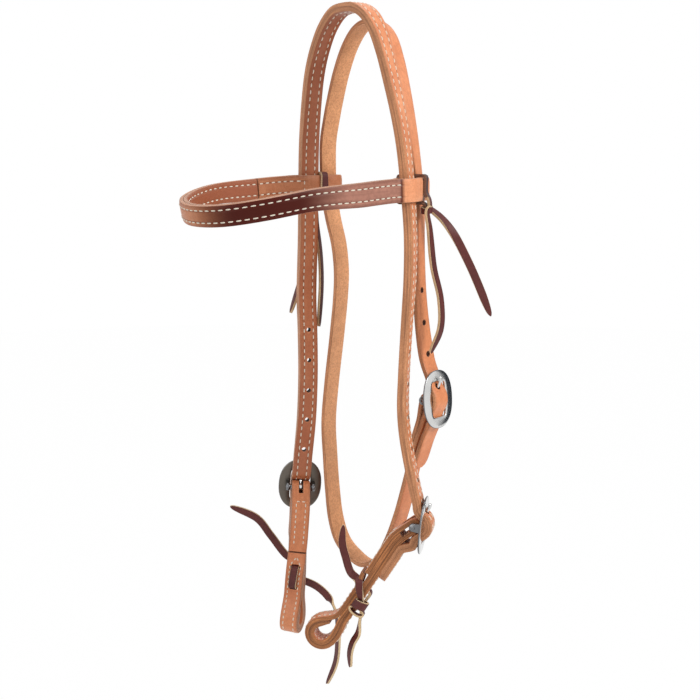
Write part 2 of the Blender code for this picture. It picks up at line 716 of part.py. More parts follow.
def make_buckle(looks, station):
    plate = plate_mesh(station.name + "_plate", [
        oval(PLATE_WIDTH, PLATE_HEIGHT, 36),
        rounded_box(WINDOW_WIDTH, WINDOW_HEIGHT, WINDOW_CORNER)], PLATE_THICKNESS / 2)
    part = add_part(station.name + "_buckle_plate", plate, looks["steel"])
    part.matrix_world = station.matrix()
    bevel(part, PLATE_EASE, 2)
    lug_across = WINDOW_WIDTH / 2 + LUG_WIDTH / 2 + LUG_ROOM
    for side in (-1, 1):
        lug = add_cutter(station.name + "_lug", lug_mesh(station.name + "_lug"))
        turn = Matrix.Rotation(math.radians(90), 4, "Y")
        lug.matrix_world = (station.matrix() @ Matrix.Translation((side * lug_across, 0, 0))
                            @ turn)
        join = part.modifiers.new("lug", "BOOLEAN")
        join.operation = "UNION"
        join.solver = "EXACT"
        join.object = lug
    bore = add_cutter(station.name + "_bore", cylinder_mesh(
        station.name + "_bore", BAR_RADIUS + CLEARANCE, PLATE_WIDTH, 16))
    turn = Matrix.Rotation(math.radians(90), 4, "Y")
    place = station.matrix() @ Matrix.Translation((0, 0, -BAR_SETBACK)) @ turn
    bore.matrix_world = place
    cut(part, bore)
    length = 2 * lug_across + LUG_WIDTH + 2 * CLEARANCE
    bar = add_part(station.name + "_buckle_bar", cylinder_mesh(
        station.name + "_bar", BAR_RADIUS, length, 16), looks["steel"])
    bar.matrix_world = place
    bevel(bar, BAR_RADIUS / 6)
    make_tongue(looks, station)


def lug_mesh(name):
    """A lug from the plate's back: a post with a round end about the bar."""
    points = []
    root = PLATE_FACE / 2
    for i in range(9):
        angle = math.pi * i / 8
        points.append((BAR_SETBACK + LUG_RADIUS * math.sin(angle), LUG_RADIUS * math.cos(angle)))
    points.append((root, -LUG_RADIUS))
    points.append((root, LUG_RADIUS))
    return plate_mesh(name, [points], LUG_WIDTH / 2)


def make_tongue(looks, station):
    """The tongue: an eye round the bar and a bent pin up to the plate's top."""
    eye = BAR_RADIUS + CLEARANCE
    rim = eye + TONGUE_EYE_WALL
    circle = [(math.cos(2 * math.pi * i / 16), math.sin(2 * math.pi * i / 16))
              for i in range(16)]
    ring = plate_mesh(station.name + "_eye", [[(x * rim, y * rim) for x, y in circle],
                                              [(x * eye, y * eye) for x, y in circle]],
                      TONGUE_EYE_WIDTH / 2)
    name = station.name + "_buckle_tongue"
    part = add_part(name, ring, looks["steel"])
    part.matrix_world = station.side_matrix() @ Matrix.Translation((-BAR_SETBACK, 0, 0))
    root, aim = tongue_line(station)
    run = Vector(aim) - Vector(root)
    start = Vector(root) + run.normalized() * (eye + TONGUE_EYE_WALL / 2)
    middle = (start + Vector(aim)) / 2
    knee = Vector(aim) - run.normalized() * TONGUE_RADIUS
    end = (aim[0] + TONGUE_BEND_SHARES[1] * TONGUE_RADIUS, aim[1] + TONGUE_LAP)
    soft = Vector(aim) + Vector((TONGUE_BEND_SHARES[0] * TONGUE_RADIUS, TONGUE_RADIUS))
    points = [(x, y, 0) for x, y in (start, middle, knee, soft, end)]
    pin = add_cutter(station.name + "_pin", tube_mesh(station.name + "_pin", points,
                                                      TONGUE_RADIUS))
    pin.matrix_world = station.side_matrix()
    join = part.modifiers.new("pin", "BOOLEAN")
    join.operation = "UNION"
    join.solver = "EXACT"
    join.object = pin


class BitEnd:
    """The folded strap below a cheek buckle, as rows about its middle line.

    A row's place is a distance below the bar and a distance square to the middle line. The
    whole fold turns about that line by its twist, between the buckle and the loop.
    """

    def __init__(self, station, length, opening, lift):
        self.station = station
        self.opening = opening
        self.lift = lift
        self.ring = opening / 2 + BIT_LINING / 2
        self.bottom = length - BIT_PLY - SEAM_GAP - BIT_LINING - opening / 2
        self.throat = length - BIT_LOOP_LENGTH - opening / 3

    def spread(self, run):
        return smooth((run - self.throat) / (self.bottom - self.throat))

    def wall(self, run, side, base):
        """A row of a leaf on one side, at a distance square to the lining's middle line."""
        step = (self.bottom - self.throat) / WALL_STEPS
        rise = self.ring * (self.spread(run + step) - self.spread(run - step))
        lean = math.atan2(rise, 2 * step)
        offset = self.ring * self.spread(run) + base * math.cos(lean)
        return self.station.turned_row(run - base * math.sin(lean), side * offset)

    def round_bottom(self, radius, count):
        rows = []
        for i in range(1, count):
            angle = math.pi * i / count
            run = self.bottom + radius * math.sin(angle)
            rows.append(self.station.turned_row(run, radius * math.cos(angle)))
        return rows

    def fold_rows(self, radius, count=8):
        """The fold round the bar."""
        station = self.station
        rows = []
        for i in range(count + 1):
            angle = math.pi * i / count + station.chape
            spot = station.place(-BAR_SETBACK - radius * math.cos(angle),
                                 radius * math.sin(angle))
            rows.append((*spot, *station.across, 1.0))
        return rows

    def straight_runs(self):
        straight = self.throat - LINING_START
        runs = [LINING_START + straight * i / STRAIGHT_STEPS for i in range(STRAIGHT_STEPS)]
        return runs + self.loop_runs()

    def loop_runs(self):
        length = self.bottom - self.throat
        return [self.throat + length * i / LOOP_STEPS for i in range(LOOP_STEPS + 1)]

    def leaf_rows(self):
        radius = FOLD_RADIUS
        runs = [LINING_START * share for share in CHAPE_SHARES] + self.straight_runs()
        rows = []
        for run in sorted([r for r in runs if r < INNER_LEAF] + [INNER_LEAF], reverse=True):
            rows.append(self.wall(run, -1, radius))
        rows += self.fold_rows(radius)
        rows += [self.wall(run, 1, radius) for run in runs]
        rows += self.round_bottom(radius + self.ring, 9)
        end = INNER_LEAF + LEAF_BUTT
        for run in sorted([r for r in runs if r > end + LEAF_BUTT], reverse=True) + [end]:
            raised = self.lift * smooth((LACE_FIRST - run) / (LACE_FIRST - end))
            rows.append(self.wall(run, -1, radius + raised))
        return np.array(rows)

    def lining_rows(self):
        """The lining ends where the two sides of the loop have parted by its thickness."""
        rows = [self.wall(run, 1, 0.0) for run in self.straight_runs()]
        rows += self.round_bottom(self.ring, 9)
        rows += [self.wall(run, -1, 0.0) for run in self.loop_runs()[:-4:-1]]
        return np.array(rows)


def make_bit_end(looks, plan):
    name = plan.station.name
    part = strap(name + "_bit_end_strap", plan.leaf_rows(), STRAP_WIDTH, BIT_PLY, 0.0, 0,
                 looks["strap"])
    cut(part, slot_cutter(plan.station, name + "_slot"))
    inner = strap(name + "_bit_end_lining", plan.lining_rows(), STRAP_WIDTH, BIT_LINING, 0.0, 0,
                  looks["lining"])
    return part, inner


class Browband:
    """The browband's plan line with its two plies, and the loops at its ends."""

    def __init__(self):
        rows = [(x * HEAD_HALF_WIDTH, y * BROW_DEPTH, 0.0) for x, y in BROW_PLAN_SHARES]
        self.line = spline(rows)
        self.runs = along(self.line)
        self.length = self.runs[-1]
        self.seam = (BROW_PLY + SEAM_GAP) / 2
        self.open = CROWN_THICKNESS / 2 + BROW_PLY / 2 + LOOP_ROOM

    def level(self, y):
        return -BROW_DROP - BROW_DIP * (min(y, 0.0) / BROW_DEPTH) ** 2

    def gap(self, run):
        """Half the distance between the plies' middles at a run from the line's start."""
        left = min(run, self.length - run)
        return self.seam + (self.open - self.seam) * (1 - smooth((left - LOOP_LENGTH) / LOOP_CLOSE))

    def row(self, run, side, extra=0.0):
        """A row on the outer (side 1) or inner (side -1) ply."""
        x, y = (float(np.interp(run, self.runs, self.line[:, k])) for k in (0, 1))
        step = self.length / 400
        ahead = [float(np.interp(run + step, self.runs, self.line[:, k])) for k in (0, 1)]
        behind = [float(np.interp(run - step, self.runs, self.line[:, k])) for k in (0, 1)]
        heading = Vector((ahead[0] - behind[0], ahead[1] - behind[1], 0)).normalized()
        outward = Vector((heading.y, -heading.x, 0))
        tilt = BROW_TILT * (min(y, 0.0) / BROW_DEPTH) ** 2
        up = Vector((0, 0, 1)) * math.cos(tilt) + outward * math.sin(tilt)
        face = outward * math.cos(tilt) - Vector((0, 0, 1)) * math.sin(tilt)
        place = Vector((x, y, self.level(y))) + face * (side * self.gap(run) + extra)
        return place, up, heading, face

    def end_rows(self, start):
        """The round end of a loop, behind the throatlatch."""
        place, up, heading, face = self.row(0.0 if start else self.length, 0)
        back = -heading if start else heading
        radius = self.open
        rows = []
        for i in range(1, 6):
            angle = math.pi * i / 6
            side = -math.cos(angle) if start else math.cos(angle)
            spot = place + face * side * radius + back * math.sin(angle) * radius
            rows.append((*spot, *up, 1.0))
        return rows


def plain_row(data):
    place, up = data[:2]
    return (*place, *up, 1.0)


def make_browband(looks):
    plan = Browband()
    runs = list(np.linspace(0, plan.length, BROW_STATIONS))
    ends = [run for run in runs if run < RETURN_LENGTH] + [RETURN_LENGTH]
    rows = [plain_row(plan.row(run, -1)) for run in reversed(ends)]
    rows += plan.end_rows(True)
    rows += [plain_row(plan.row(run, 1)) for run in runs]
    rows += plan.end_rows(False)
    rows += [plain_row(plan.row(plan.length - run, -1)) for run in ends]
    strap("browband_strap", np.array(rows), BROW_WIDTH, BROW_PLY, 0.0, 0, looks["strap"])
    start = RETURN_LENGTH + LEAF_BUTT
    inner = [start] + [run for run in runs if start < run < plan.length - start]
    inner.append(plan.length - start)
    rows = [plain_row(plan.row(run, -1)) for run in inner]
    strap("browband_lining", np.array(rows), BROW_WIDTH, BROW_PLY, 0.0, 0, looks["lining"])
    return plan


def thong(name, rows, looks):
    """A flat leather lace, cut to a point at both ends."""
    curve = tip_rows(spline(rows, 8), THONG_POINT, POINT_SHARE)
    curve = tip_rows(curve[::-1], THONG_POINT, POINT_SHARE)[::-1]
    return strap(name, pick_stations(curve, THONG_STEP), THONG_WIDTH, THONG_THICKNESS,
                 0.0, 0, looks["thong"], 0.0)


def mix(first, second, share):
    return (Vector(first) * (1 - share) + Vector(second) * share).normalized()


def corner_arc(out, rise, start, radius):
    """Quarter of a circle about an edge of the browband, as (out, rise)."""
    return [(out + radius * math.cos(start + math.pi / 2 * i / 3),
             rise + radius * math.sin(start + math.pi / 2 * i / 3)) for i in range(4)]


def make_browband_tie(name, plan, run, first_tail, second_tail, looks):
    """A thong wound once round a browband loop, gathered where it goes between the straps.

    Tail points are shares of the tail's length outward, up and along the browband.
    """
    place, _, heading, face = plan.row(run, 0)
    up = Vector((0, 0, 1))
    edge = plan.open + BROW_PLY / 2
    top = BROW_WIDTH / 2
    bend = CLEARANCE + THONG_THICKNESS / 2
    wide = edge + bend
    lift = THONG_THICKNESS + 2 * CLEARANCE
    ring = [(wide + lift * out, -top + lift * rise, 1.0) for out, rise in HITCH_SHARES]
    ring += [(*spot, TURN_WIDTH_SHARE) for spot in corner_arc(edge, top, 0.0, bend)]
    ring += [(edge * share, top + bend, GATHER) for share in GATHER_SHARES]
    ring += [(*spot, TURN_WIDTH_SHARE) for spot in corner_arc(-edge, top, math.pi / 2, bend)]
    ring += [(-wide, 0, 1.0)]
    ring += [(*spot, TURN_WIDTH_SHARE) for spot in corner_arc(-edge, -top, math.pi, bend)]
    ring += [(-edge * share, -top - bend, GATHER) for share in GATHER_SHARES]
    drop = top + bend + THONG_THICKNESS
    foot = corner_arc(wide - THONG_THICKNESS, -drop, 0.0, THONG_THICKNESS)
    ring += [(*spot, TURN_WIDTH_SHARE) for spot in reversed(foot)]
    axes = (face, up, heading)
    rows = tail_rows(place, axes, first_tail, TIE_TAIL)[::-1]
    rows += [(*(place + face * out + up * rise), *heading, share) for out, rise, share in ring]
    rows += tail_rows(place, axes, second_tail, TIE_TAIL)
    return thong(name, rows, looks)


def lace_cutter(plan, name, run):
    """The slot that a thong passes through, across the bit end."""
    mesh = bpy.data.meshes.new(name)
    work = bmesh.new()
    bmesh.ops.create_cube(work, size=1.0)
    room = 2 * LACE_ROOM
    reach = 2 * (2 * FOLD_RADIUS + BIT_PLY)
    bmesh.ops.scale(work, verts=work.verts,
                    vec=(reach, THONG_THICKNESS + room, THONG_WIDTH + room))
    work.to_mesh(mesh)
    work.free()
    cutter = add_cutter(name, mesh)
    outward, up, across = plan.station.axes(run)
    turn = Matrix((outward, up, -across)).transposed().to_4x4()
    cutter.matrix_world = Matrix.Translation(Vector(plan.station.turned_row(run, 0.0)[:3])) @ turn
    return cutter


def tail_rows(base, axes, shares, length):
    """Rows of a hanging tail; shares are along the three axes and how far it turns."""
    out, rise, along_axis = axes
    rows = []
    for a, b, c, twist in shares:
        spot = base + (out * a + rise * b + along_axis * c) * length
        rows.append((*spot, *mix(along_axis, rise, twist), 1.0))
    return rows


def make_bit_tie(plan, side, slots, first_tail, second_tail, pieces, looks):
    """A thong laced through a bit end's slots, its band lying on one side of the bit end.

    side is 1 for a band on the outer face, -1 on the inner one. With one slot the second
    tail hangs from the band, with two it comes back through the lower slot.
    """
    station = plan.station
    stand = FOLD_RADIUS + BIT_PLY / 2 + LACE_ROOM + THONG_THICKNESS / 2
    turn = LACE_TURN_SHARE * THONG_THICKNESS
    runs = [LACE_FIRST, LACE_FIRST + LACE_PITCH]
    axes = (station.out, station.up, station.across)

    def banded(run, share):
        return station.turned_row(run, share * stand)

    def start(run, share):
        return Vector(banded(run, share)[:3])

    through = (1 - turn / stand) * LACE_THROUGH_SHARE
    rows = tail_rows(start(runs[0], -side), axes, first_tail, BIT_TAIL)[::-1]
    rows += [banded(runs[0], side * share) for share in (-through, 0.0, through)]
    rows += [banded(run, side) for run in (runs[0] + turn, (runs[0] + runs[1]) / 2)]
    if slots == 2:
        rows.append(banded(runs[1] - turn, side))
        rows += [banded(runs[1], side * share) for share in (through, 0.0, -through)]
        rows += tail_rows(start(runs[1], -side), axes, second_tail, BIT_TAIL)
    else:
        rows += tail_rows(start(runs[1] - turn, side), axes, second_tail, BIT_TAIL)
    for piece in pieces:
        for i in range(slots):
            cut(piece, lace_cutter(plan, "lace_" + station.name + "_" + str(i), runs[i]))
    return thong(station.name + "_bit_tie", rows, looks)


def main():
    clear_scene()
    looks = material_set()
    off, near, throat = stations()
    make_crown(looks, off, near)
    make_throatlatch(looks, throat)
    for station in (off, near, throat):
        make_buckle(looks, station)
    off_plan = BitEnd(off, OFF_BIT_LENGTH, OFF_LOOP_OPENING, 0.0)
    near_plan = BitEnd(near, NEAR_BIT_LENGTH, NEAR_LOOP_OPENING, NEAR_RETURN_LIFT)
    off_end = make_bit_end(looks, off_plan)
    near_end = make_bit_end(looks, near_plan)
    plan = make_browband(looks)
    make_browband_tie("off_browband_tie", plan, OFF_TIE_PLACE, OFF_TIE_LONG_SHARES,
                      OFF_TIE_SHORT_SHARES, looks)
    make_browband_tie("near_browband_tie", plan, plan.length - NEAR_TIE_PLACE, NEAR_TIE_LONG_SHARES,
                      NEAR_TIE_SHORT_SHARES, looks)
    make_bit_tie(off_plan, -1, 2, OFF_LACE_UPPER_SHARES, OFF_LACE_LOWER_SHARES, off_end, looks)
    make_bit_tie(near_plan, 1, 1, NEAR_LACE_UPPER_SHARES, NEAR_LACE_LOWER_SHARES, near_end,
                 looks)


main()
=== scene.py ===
"""Western headstall, dressed: swept leather straps, thread, laces and polished buckles.

Metres, +Z up. The horse faces -Y and its left side, the near side, is +X.
"""
import math

import bmesh
import bpy
import numpy as np
from mathutils import Matrix, Vector


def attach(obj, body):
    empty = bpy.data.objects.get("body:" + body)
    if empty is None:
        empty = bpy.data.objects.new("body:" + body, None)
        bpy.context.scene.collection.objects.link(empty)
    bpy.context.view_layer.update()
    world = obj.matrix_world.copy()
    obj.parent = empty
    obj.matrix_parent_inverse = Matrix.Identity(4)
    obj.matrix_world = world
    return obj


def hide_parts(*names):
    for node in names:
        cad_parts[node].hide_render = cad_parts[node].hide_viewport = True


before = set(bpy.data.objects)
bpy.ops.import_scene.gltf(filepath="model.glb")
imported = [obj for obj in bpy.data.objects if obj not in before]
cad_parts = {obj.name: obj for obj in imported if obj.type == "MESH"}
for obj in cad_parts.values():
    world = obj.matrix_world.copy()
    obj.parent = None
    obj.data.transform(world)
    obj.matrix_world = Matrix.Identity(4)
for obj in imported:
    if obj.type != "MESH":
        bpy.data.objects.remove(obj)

# Leather
STRAP_WIDTH = 0.0159
CROWN_PLY = 0.0036
THROAT_PLY = 0.0038
BIT_PLY = 0.0038
BROW_PLY = 0.0034
BROW_WIDTH = 0.018
SEAM_GAP = 0.0003
CLEARANCE = 0.0003
HOLE_PITCH = 0.0254
HOLE_RADIUS = 0.0024

# The head that the straps go round
HEAD_HALF_WIDTH = 0.061
CHEEK_DROP = 0.394
THROAT_DROP = 0.447
THROAT_STEP = 0.0085
STRAP_PITCH = 0.0185
BROW_DROP = 0.1335
BROW_DEPTH = 0.159
BROW_DIP = 0.020
BROW_TILT = math.radians(12)
LOOP_LENGTH = 0.0335
LOOP_CLOSE = 0.014
LOOP_ROOM = 0.0024
RETURN_LENGTH = 0.074

# Buckles
PLATE_WIDTH = 0.0375
PLATE_HEIGHT = 0.047
PLATE_THICKNESS = 0.0021
WINDOW_HEIGHT = 0.029
WINDOW_ROOM_SHARE = 0.1
BAR_RADIUS = 0.00175
BAR_SETBACK = 0.0065
LUG_RADIUS = 0.0034
LUG_WIDTH = 0.0034
LUG_ROOM = 0.00045
TONGUE_RADIUS = 0.0015
TONGUE_EYE_WIDTH = 0.0034
TONGUE_EYE_WALL = 0.0013
TONGUE_LAP = 0.0042
TONGUE_LIFT = math.radians(4)

# Bit ends
OFF_BIT_LENGTH = 0.133
NEAR_BIT_LENGTH = 0.1385
BIT_LOOP_LENGTH = 0.034
OFF_LOOP_OPENING = 0.0093
NEAR_LOOP_OPENING = 0.0125
INNER_LEAF = 0.057
LEAF_BUTT = 0.0015
LINING_START = 0.013
BILLET_REACH = 0.056
BILLET_SLACK = 0.0010
BILLET_SINK = 0.10
LEAD_SHARE = 0.64
TIP_SHARE = 0.6
BLUNT_SHARE = 0.35
CHAPE_STRAIGHT = 0.009
CHAPE_BEND = 0.018
SLOT_REACH = 0.0065
THROAT_RETURN = 0.045
THROAT_BILLET = 0.059
RETURN_SHARES = (0.1, 0.22, 0.4, 0.6, 0.8, 1.0)
OFF_TWIST = -25
TWIST_START = 0.042
TWIST_RUN = 0.052
NEAR_SWAY = 26
SWAY_START = 0.090
SWAY_RUN = 0.036
TIP_RUN_SHARES = (0.40, 0.70, 1.0)
NEAR_RETURN_LIFT = 0.0025
WALL_STEPS = 50
CHAPE_SHARES = (0.35, 0.8)
LACE_TURN_SHARE = 0.7
LACE_THROUGH_SHARE = 0.9

# Thongs
THONG_WIDTH = 0.0065
THONG_THICKNESS = 0.0024
LACE_FIRST = 0.071
LACE_PITCH = 0.019
OFF_TIE_PLACE = 0.0138
NEAR_TIE_PLACE = 0.0141
TIE_TAIL = 0.100
BIT_TAIL = 0.100
THONG_POINT = 0.022
POINT_SHARE = 0.12
TURN_WIDTH_SHARE = 0.9
LACE_ROOM = 0.0009
GATHER = 0.32

# Steps
SPINE_STEP = 0.0005

CROWN_THICKNESS = 2 * CROWN_PLY + SEAM_GAP
FOLD_RADIUS = BAR_RADIUS + CLEARANCE + BIT_PLY / 2
BIT_LINING = 2 * FOLD_RADIUS - BIT_PLY - 3 * SEAM_GAP
WINDOW_WIDTH = STRAP_WIDTH * (1 + WINDOW_ROOM_SHARE)
WINDOW_TOP = WINDOW_HEIGHT / 2
PLATE_FACE = PLATE_THICKNESS / 2

# Share tables: x of HEAD_HALF_WIDTH, y of STRAP_PITCH, z of the drop named beside them, width azimuth
OFF_CHEEK_SHARES = [
    (-1.130, -0.03, 0.905, 60), (-1.072, 0.0, 0.855, 62), (-1.032, 0.0, 0.757, 66),
    (-1.038, 0.0, 0.655, 69), (-1.056, 0.0, 0.588, 71), (-1.020, 0.0, 0.460, 74),
    (-1.002, 0.0, 0.350, 76), (-0.983, 0.0, 0.262, 78), (-0.930, 0.0, 0.180, 82),
    (-0.855, 0.0, 0.115, 85), (-0.745, 0.0, 0.068, 88), (-0.575, 0.0, 0.024, 90),
    (-0.360, 0.0, -0.004, 90), (-0.150, 0.0, -0.0095, 90)]
NEAR_CHEEK_SHARES = [
    (0.050, 0.0, -0.0075, 90), (0.230, 0.0, 0.006, 91), (0.400, 0.0, 0.036, 96),
    (0.545, 0.0, 0.082, 102), (0.690, 0.0, 0.145, 107), (0.815, 0.0, 0.207, 112),
    (0.910, 0.0, 0.270, 116), (0.985, 0.0, 0.350, 118), (1.040, 0.0, 0.435, 121),
    (1.035, 0.0, 0.520, 123), (0.985, 0.0, 0.610, 126), (0.935, 0.0, 0.714, 127),
    (0.922, 0.0, 0.785, 126), (0.950, 0.06, 0.842, 126), (0.990, 0.16, 0.890, 126)]
THROAT_LOOP_SHARES = [
    (0.700, 1.390, 0.790, 98), (0.617, 1.314, 0.835, 97), (0.526, 1.190, 0.885, 95),
    (0.393, 1.027, 0.938, 93), (0.184, 0.908, 0.984, 91), (-0.070, 0.830, 1.000, 90),
    (-0.350, 0.83, 0.990, 90), (-0.600, 0.87, 0.970, 92), (-0.760, 0.92, 0.933, 95),
    (-0.850, 0.95, 0.875, 98), (-0.905, 0.97, 0.810, 99), (-0.935, 0.97, 0.745, 99),
    (-0.870, 0.97, 0.668, 99), (-0.746, 0.97, 0.567, 99), (-0.660, 0.95, 0.490, 99),
    (-0.640, 0.93, 0.445, 98), (-0.690, 0.93, 0.398, 97), (-0.830, 0.97, 0.348, 95),
    (-0.955, 1.07, 0.299, 93), (-0.975, 1.07, 0.250, 92), (-0.955, 1.04, 0.205, 91),
    (-0.905, 1.08, 0.168, 90), (-0.815, 1.10, 0.124, 90), (-0.690, 1.10, 0.078, 90),
    (-0.510, 1.10, 0.033, 90), (-0.310, 1.10, 0.005, 90), (-0.110, 1.09, -0.005, 90),
    (0.090, 1.07, 0.002, 91), (0.270, 1.04, 0.022, 93), (0.430, 1.00, 0.060, 98),
    (0.580, 0.96, 0.113, 104), (0.730, 0.93, 0.180, 111), (0.835, 0.95, 0.250, 116),
    (0.865, 1.06, 0.310, 118), (0.880, 1.02, 0.400, 113), (0.895, 1.05, 0.480, 106),
    (0.905, 1.24, 0.548, 100)]
# Browband plan, x of HEAD_HALF_WIDTH and y of BROW_DEPTH
BROW_PLAN_SHARES = [
    (-0.962, 0.142), (-0.977, 0.100), (-1.005, 0.0), (-1.025, -0.056), (-1.060, -0.215),
    (-1.065, -0.430), (-0.985, -0.620), (-0.800, -0.785), (-0.480, -0.912), (0.0, -0.985),
    (0.520, -0.960), (0.880, -0.835), (1.060, -0.645), (1.135, -0.430), (1.120, -0.215),
    (1.058, -0.056), (0.990, 0.0), (0.860, 0.089), (0.795, 0.134)]

GATHER_SHARES = (0.75, 0.25, -0.25, -0.75)
# Where a tail leaves its ring, shares of the ring's lift outward and up
HITCH_SHARES = ((1.0, -1.6), (1.0, -0.5), (0.75, 0.6), (0.0, 2.2))

# Thong tails, shares of a tail's length: outward, up, along the leather, and how far it turns
OFF_TIE_LONG_SHARES = [(0.125, -0.17, -0.04, 0.1), (0.090, -0.32, -0.045, 0.1),
                       (0.040, -0.52, -0.05, 0.1), (0.0, -0.80, -0.04, 0.1),
                       (0.01, -1.20, -0.02, 0.1)]
OFF_TIE_SHORT_SHARES = [(0.115, -0.17, 0.0, 0.1), (0.13, -0.35, -0.01, 0.1),
                        (0.14, -0.65, 0.03, 0.1), (0.13, -1.08, 0.19, 0.1)]
NEAR_TIE_LONG_SHARES = [(0.135, -0.17, -0.05, 0.2), (0.155, -0.30, -0.05, 0.4),
                        (0.185, -0.60, -0.03, 0.5), (0.235, -0.85, 0.0, 0.5),
                        (0.235, -1.08, 0.01, 0.4), (0.155, -1.28, 0.01, 0.4)]
NEAR_TIE_SHORT_SHARES = [(0.130, -0.15, 0.05, 0.2), (0.215, -0.22, 0.07, 0.4),
                         (0.300, -0.34, 0.12, 0.5), (0.400, -0.56, 0.20, 0.5),
                         (0.470, -0.75, 0.27, 0.5), (0.560, -1.01, 0.34, 0.5)]
OFF_LACE_UPPER_SHARES = [(0.035, 0.0, 0.03, 0.3), (0.05, 0.03, 0.10, 1.0),
                         (0.09, 0.20, 0.25, 1.0), (0.11, 0.35, 0.38, 1.0),
                         (0.15, 0.44, 0.62, 1.0)]
OFF_LACE_LOWER_SHARES = [(0.035, 0.0, -0.02, 0.3), (0.07, -0.06, -0.15, 0.8),
                         (0.08, -0.14, -0.25, 0.8), (0.08, -0.23, -0.32, 0.6),
                         (0.08, -0.37, -0.385, 0.4), (0.08, -0.66, -0.415, 0.3),
                         (0.08, -0.85, -0.41, 0.3), (0.08, -1.07, -0.35, 0.3)]
NEAR_LACE_UPPER_SHARES = [(-0.015, 0.0, 0.0, 0.3), (-0.05, 0.07, 0.0, 0.6),
                          (-0.10, 0.185, 0.0, 0.6), (-0.14, 0.30, 0.0, 0.6),
                          (-0.145, 0.455, 0.0, 0.6)]
NEAR_LACE_LOWER_SHARES = [(0.01, -0.03, 0.0, 0.2), (0.005, -0.10, 0.0, 0.4),
                          (0.0, -0.22, 0.0, 0.5), (-0.035, -0.305, 0.0, 0.5),
                          (-0.05, -0.40, 0.0, 0.5), (-0.035, -0.52, 0.0, 0.5)]

# Kinds of face round a strap, in the order of its looks
GRAIN, EDGE, FLESH = 0, 1, 2

# How finely the straps are drawn
RUN_STEP = 0.002
LEAF_STEP = 0.0015
BROW_STEP = 0.0025
THONG_RUN_STEP = 0.0012
TINY = 0.00001
HAIR = 0.00004
SMOOTH_ANGLE = math.radians(42)
TUBE_ANGLE = math.radians(70)
STEEL_ANGLE = math.radians(50)

# Edges of the straps: how far the grain side rolls down, and the cut corner
ROLL = 0.0002
BROW_ROLL = 0.0005
THONG_ROLL = 0.0001
CORNER = 0.0006
PLAIN_CORNER = 0.0008
BROW_CORNER = 0.0009
THONG_CORNER = 0.0005
FLESH_EASE = 0.00015

# Where the drawn straps depart from the solids
NEAR_BILLET_PULL = 0.0020
NEAR_TIP_SHARES = (0.18, 0.42, 0.70, 1.0)
FRONT_START = -0.050
FRONT_RUN = 0.060
FRONT_RISE = 0.0031
FRONT_NARROWING = 0.12

# Holes: their number above the tongue's, their size against the solids' and their places
CROWN_HOLES = 5
THROAT_HOLES = 3
FREE_HOLE = 0.80
TONGUE_HOLE = 1.07
HOLE_LIFT = 0.0033
HOLE_SPREAD = 0.0008
HOLE_DEPTH = 0.0125

# Tones painted on the leather
BROW_TONE = 0.32
RETURN_TONE = 0.42
# The browband lining's tone is painted shade on its inward face
BROW_LINING_SHADE = 0.82
BIT_TONE = 0.22
CORE_TONE = 0.2
EDGE_STAIN = 1.7
RIM_WEAR = 0.55

# Stitching
STITCH_INSET = 0.0039
BIT_INSET = 0.0033
BROW_INSET = 0.0045
STITCH_ACROSS = STRAP_WIDTH / 2 - STITCH_INSET
GROOVE = 0.0009
GROOVE_DEPTH = 0.00030
GROOVE_FADE = 0.004
THREAD_RADIUS = 0.00050
THREAD_SIDES = 8
THREAD_SINK = 0.00045
THREAD_RISE = 0.00022
AWL_LENGTH = 0.0007
AWL_RADIUS = 0.00050
AWL_SHAPE = np.array([0.75, 1.0, 0.6])
AWL_SINK_SHARE = 0.72
CROWN_PITCH = 0.0057
CROWN_STITCH = 0.0040
BROW_PITCH = 0.0060
BROW_STITCH = 0.0047
INNER_STITCH = BROW_STITCH * 0.8
BIT_PITCH = 0.0046
BIT_STITCH = 0.0033
BROW_STITCH_START = 0.0310
BIT_STITCH_TOP = 0.0160
THROAT_STITCH_TOP = 0.0130
APEX_TOP = 0.0620
APEX_FOOT = 0.0700
TIP_LENGTH = 0.0095

# Laces: the way that their broad side faces, their stand on the leather, knots and rings
LACE_FACING = (0.745, -0.648, 0.16)
LACE_TURN = 0.034
LACE_STAND = FOLD_RADIUS + BIT_PLY / 2 + LACE_ROOM + THONG_THICKNESS / 2
HOOP_WIDTH = 0.0048
HOOP_THICKNESS = 0.0018
HOOP_RISE = 0.0012
NEAR_KNOT_RISE = 0.0085
KNOT_REACH = (0.0032, 0.0052)
KNOT_WIDTH = 0.0074
KNOT_SWEEP = math.radians(150)
RING_REACH = (0.0062, 0.0024)
RING_WIDTH = 0.0050
RING_DROP = 0.0062
RING_STAND = 0.0006
# Run below the bar, then shares of the stand outward and of the strap's half width
NEAR_KNOT = (LACE_FIRST + LACE_PITCH - NEAR_KNOT_RISE, 0.72, 0.95)
NEAR_CROSSING = ((0.066, -0.75, 0.8), (0.071, -0.2, 1.0), (0.076, 0.40, 1.0),
                 (0.079, 0.80, 0.75))

# Steel: the plate's section goes from window to rim, as shares across and of its half thickness
PLATE_FRONT, PLATE_BACK, PLATE_RIM = 0, 1, 2
PLATE_SIDES = 120
PLATE_POWER = 2.3
WINDOW_POWER = 7
PLATE_PROFILE_SHARES = [
    (0.0, -0.55), (0.025, -0.9), (0.08, -1.0), (0.5, -1.0), (0.88, -0.9), (0.965, -0.65),
    (1.0, -0.2), (0.99, 0.2), (0.95, 0.42), (0.84, 0.62), (0.62, 0.82), (0.35, 0.95),
    (0.12, 1.0), (0.035, 0.92), (0.0, 0.55)]
LUG_FLARE = 1.15
LUG_EASE_SHARE = 0.16
BAR_PROFILE_SHARES = ((-1.0, 0.55), (-0.985, 0.85), (-0.96, 1.0), (0.96, 1.0), (0.985, 0.85),
                      (1.0, 0.55))
EYE_SHARES = ((-1, -1), (-1, 1), (0.7, 1), (1, 0.75), (1, -0.75), (0.7, -1))

